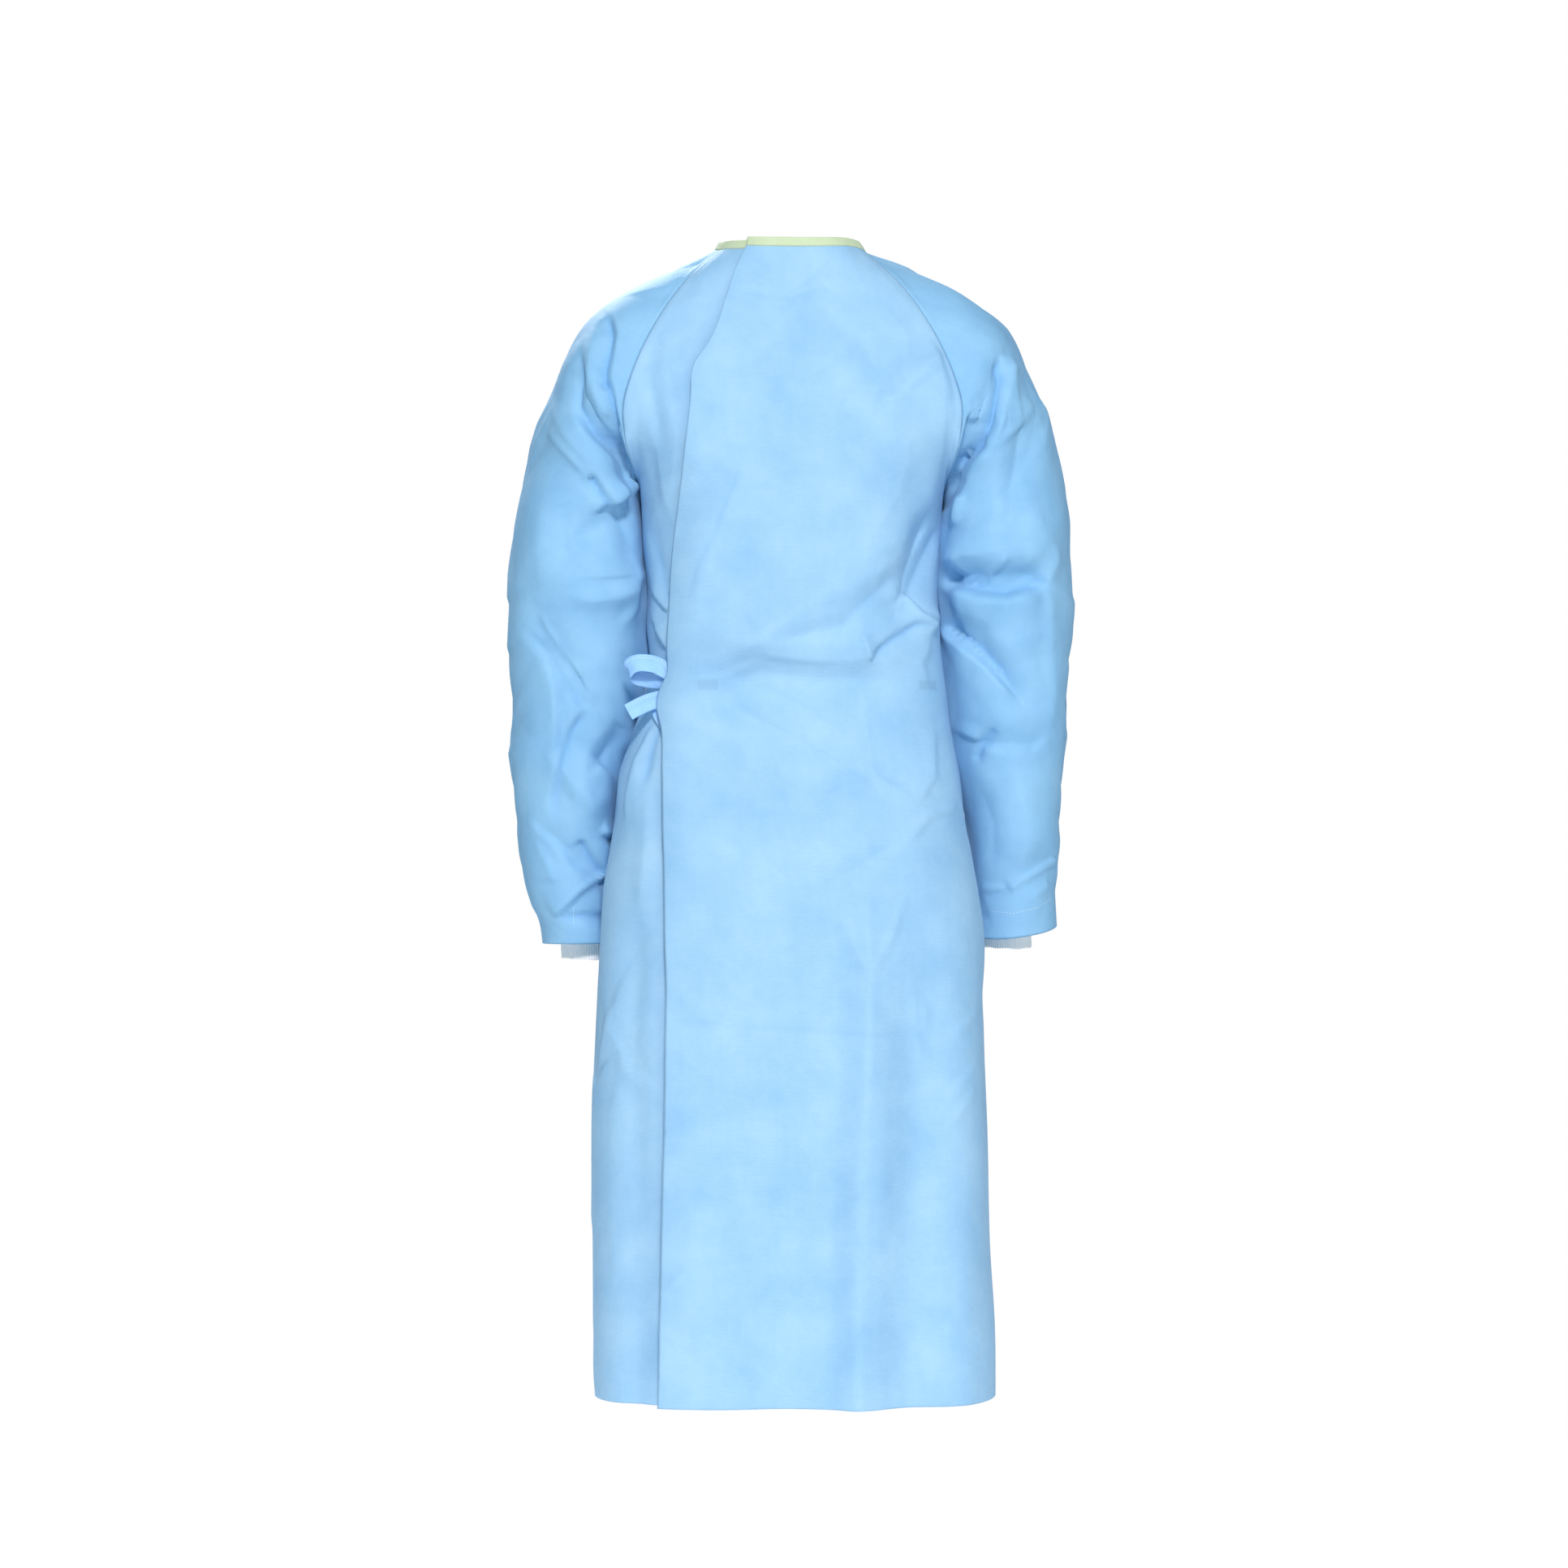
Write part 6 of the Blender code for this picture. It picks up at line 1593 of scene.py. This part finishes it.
def make_stage():
    """The camera behind the gown, the world, the floor and the lights."""
    scene = bpy.context.scene
    camera = bpy.data.cameras.new("camera")
    camera.lens, camera.sensor_width = CAMERA_LENS, CAMERA_SENSOR
    holder = bpy.data.objects.new("camera", camera)
    holder.location = CAMERA_PLACE
    holder.rotation_euler = CAMERA_TURN
    scene.collection.objects.link(holder)
    scene.camera = holder
    make_world(scene)
    make_floor()
    for lamp in LIGHTS:
        data = bpy.data.lights.new(lamp.name, "AREA")
        data.shape, data.size, data.energy, data.color = "DISK", lamp.size, lamp.power, lamp.colour
        obj = bpy.data.objects.new(lamp.name, data)
        obj.location = lamp.place
        obj.rotation_euler = (Vector(LIGHT_AIM) - Vector(lamp.place)).to_track_quat("-Z", "Y").to_euler()
        scene.collection.objects.link(obj)


AMBIENT = (0.26, 0.38, 0.44, 1.0)  # the light that comes from all round, a little blue
WHITE = (1.0, 1.0, 1.0, 1.0)


def make_world(scene):
    """A white background, which lights the gown less than it shows."""
    world = bpy.data.worlds.new("studio")
    world.use_nodes = True
    tree = world.node_tree
    sky = tree.nodes["Background"]
    rays = tree.nodes.new("ShaderNodeLightPath")
    seen = tree.nodes.new("ShaderNodeMix")
    seen.data_type = "RGBA"
    seen.inputs["A"].default_value = AMBIENT
    seen.inputs["B"].default_value = WHITE
    tree.links.new(rays.outputs["Is Camera Ray"], seen.inputs["Factor"])
    tree.links.new(seen.outputs["Result"], sky.inputs["Color"])
    scene.world = world
    scene.view_settings.view_transform = "Standard"


FLOOR_Z = -1.46
FLOOR_RADIUS = 2.4
FLOOR_SIDES = 96
FLOOR_FADES = (0.8, 2.2)
FLOOR_COLOUR = (0.90, 0.90, 0.90, 1.0)
FLOOR_GLOW = 0.42


def make_floor():
    """A pale floor below the gown that fades into the background."""
    turns = np.linspace(0.0, 2 * math.pi, FLOOR_SIDES, endpoint=False)
    level = np.full(FLOOR_SIDES, FLOOR_Z)
    rim = np.stack([FLOOR_RADIUS * np.cos(turns), FLOOR_RADIUS * np.sin(turns), level], axis=1)
    floor = new_object("floor", rim, [list(range(FLOOR_SIDES))])
    nodes = Nodes("floor_pale")
    level = {0: nodes.in_space(), 1: (1.0, 1.0, 0.0)}
    level = nodes.add("ShaderNodeVectorMath", level, operation="MULTIPLY").outputs["Vector"]
    away = nodes.add("ShaderNodeVectorMath", {0: level}, operation="LENGTH").outputs["Value"]
    fades = {"Value": away, "From Min": FLOOR_FADES[0], "From Max": FLOOR_FADES[1]}
    clear = nodes.add("ShaderNodeMapRange", fades, interpolation_type="SMOOTHSTEP").outputs["Result"]
    looks = {
        "Base Color": FLOOR_COLOUR,
        "Emission Color": WHITE,
        "Emission Strength": FLOOR_GLOW,
        "Roughness": 0.9,
        "Specular IOR Level": 0.1,
    }
    nodes.put(nodes.shader, looks)
    glass = nodes.add("ShaderNodeBsdfTransparent").outputs["BSDF"]
    mix = nodes.add("ShaderNodeMixShader", {0: clear, 1: nodes.shader.outputs["BSDF"], 2: glass})
    nodes.tree.links.new(mix.outputs["Shader"], nodes.tree.nodes["Material Output"].inputs["Surface"])
    floor.data.materials.append(nodes.material)


LIGHT_AIM = (0.0, 0.0, -0.50)
Lamp = namedtuple("Lamp", "name place size power colour")
LIGHTS = [
    Lamp("key", (0.15, -4.2, 1.8), 0.7, 174.0, (1.0, 0.98, 0.98)),
    Lamp("fill", (1.0, -4.0, -1.3), 2.0, 20.0, (0.98, 0.98, 1.0)),
    Lamp("far_side", (-1.3, 3.6, 2.2), 1.2, 150.0, (1.0, 1.0, 1.0)),
]

# What each piece was cut to, in metres: width, length and area of what shows.
Cut = namedtuple("Cut", "width length area held")


def main():
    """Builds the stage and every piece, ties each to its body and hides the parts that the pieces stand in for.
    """
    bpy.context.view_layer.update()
    make_stage()
    panels = lay_out()
    sleeve_ends = {side: float(panels["sleeve_" + side].points[-1][:, 2].mean()) for side in CUFFS}
    press(panels)
    body = cloth_material("cloth_ribbed", BODY_COLOURS, "ribs")
    sleeve = cloth_material("cloth_embossed", SLEEVE_COLOURS, "points")
    knit, tape, strip = knit_material(), binding_material(), tie_material()
    pale_thread = thread_material("thread_pale", PALE_THREAD_COLOURS)
    tape_thread = thread_material("thread_tape", TAPE_THREAD_COLOURS)
    cloths = {}
    for name, panel in panels.items():
        is_sleeve = name.startswith("sleeve")
        extra = turned_in(panel, name.split("_")[1]) if is_sleeve else ()
        obj = shell(name + "_cloth", panel, extra)
        finish_piece(obj, sleeve if is_sleeve else body, [name])
        cloths[name] = obj
    going_with = {name: [] for name in cloths}
    for side in CUFFS:
        cuff = finish_piece(make_cuff(side, sleeve_ends[side]), knit, ["cuff_" + side])
        going_with["sleeve_" + side].append(cuff)
    binding, *threads = make_binding(panels)
    finish_piece(binding, tape, ["neck_binding"])
    going_with["front_panel"].append(binding)
    for obj in threads:
        going_with["front_panel"].append(finish_piece(obj, tape_thread, []))
    for name, line in SEWN_LINES.items():
        obj = finish_piece(make_sewn_line(name, line, panels), pale_thread, [])
        going_with[line.panel].append(obj)
    knot = finish_piece(make_knot(), strip, ["tie_knot"])
    for name in TIES:
        tie, rows, length = make_tie(name, both_ends=name == "tie_loop")
        finish_piece(tie, strip, [name])
        rows = [finish_piece(row, pale_thread, []) for row in rows]


main()
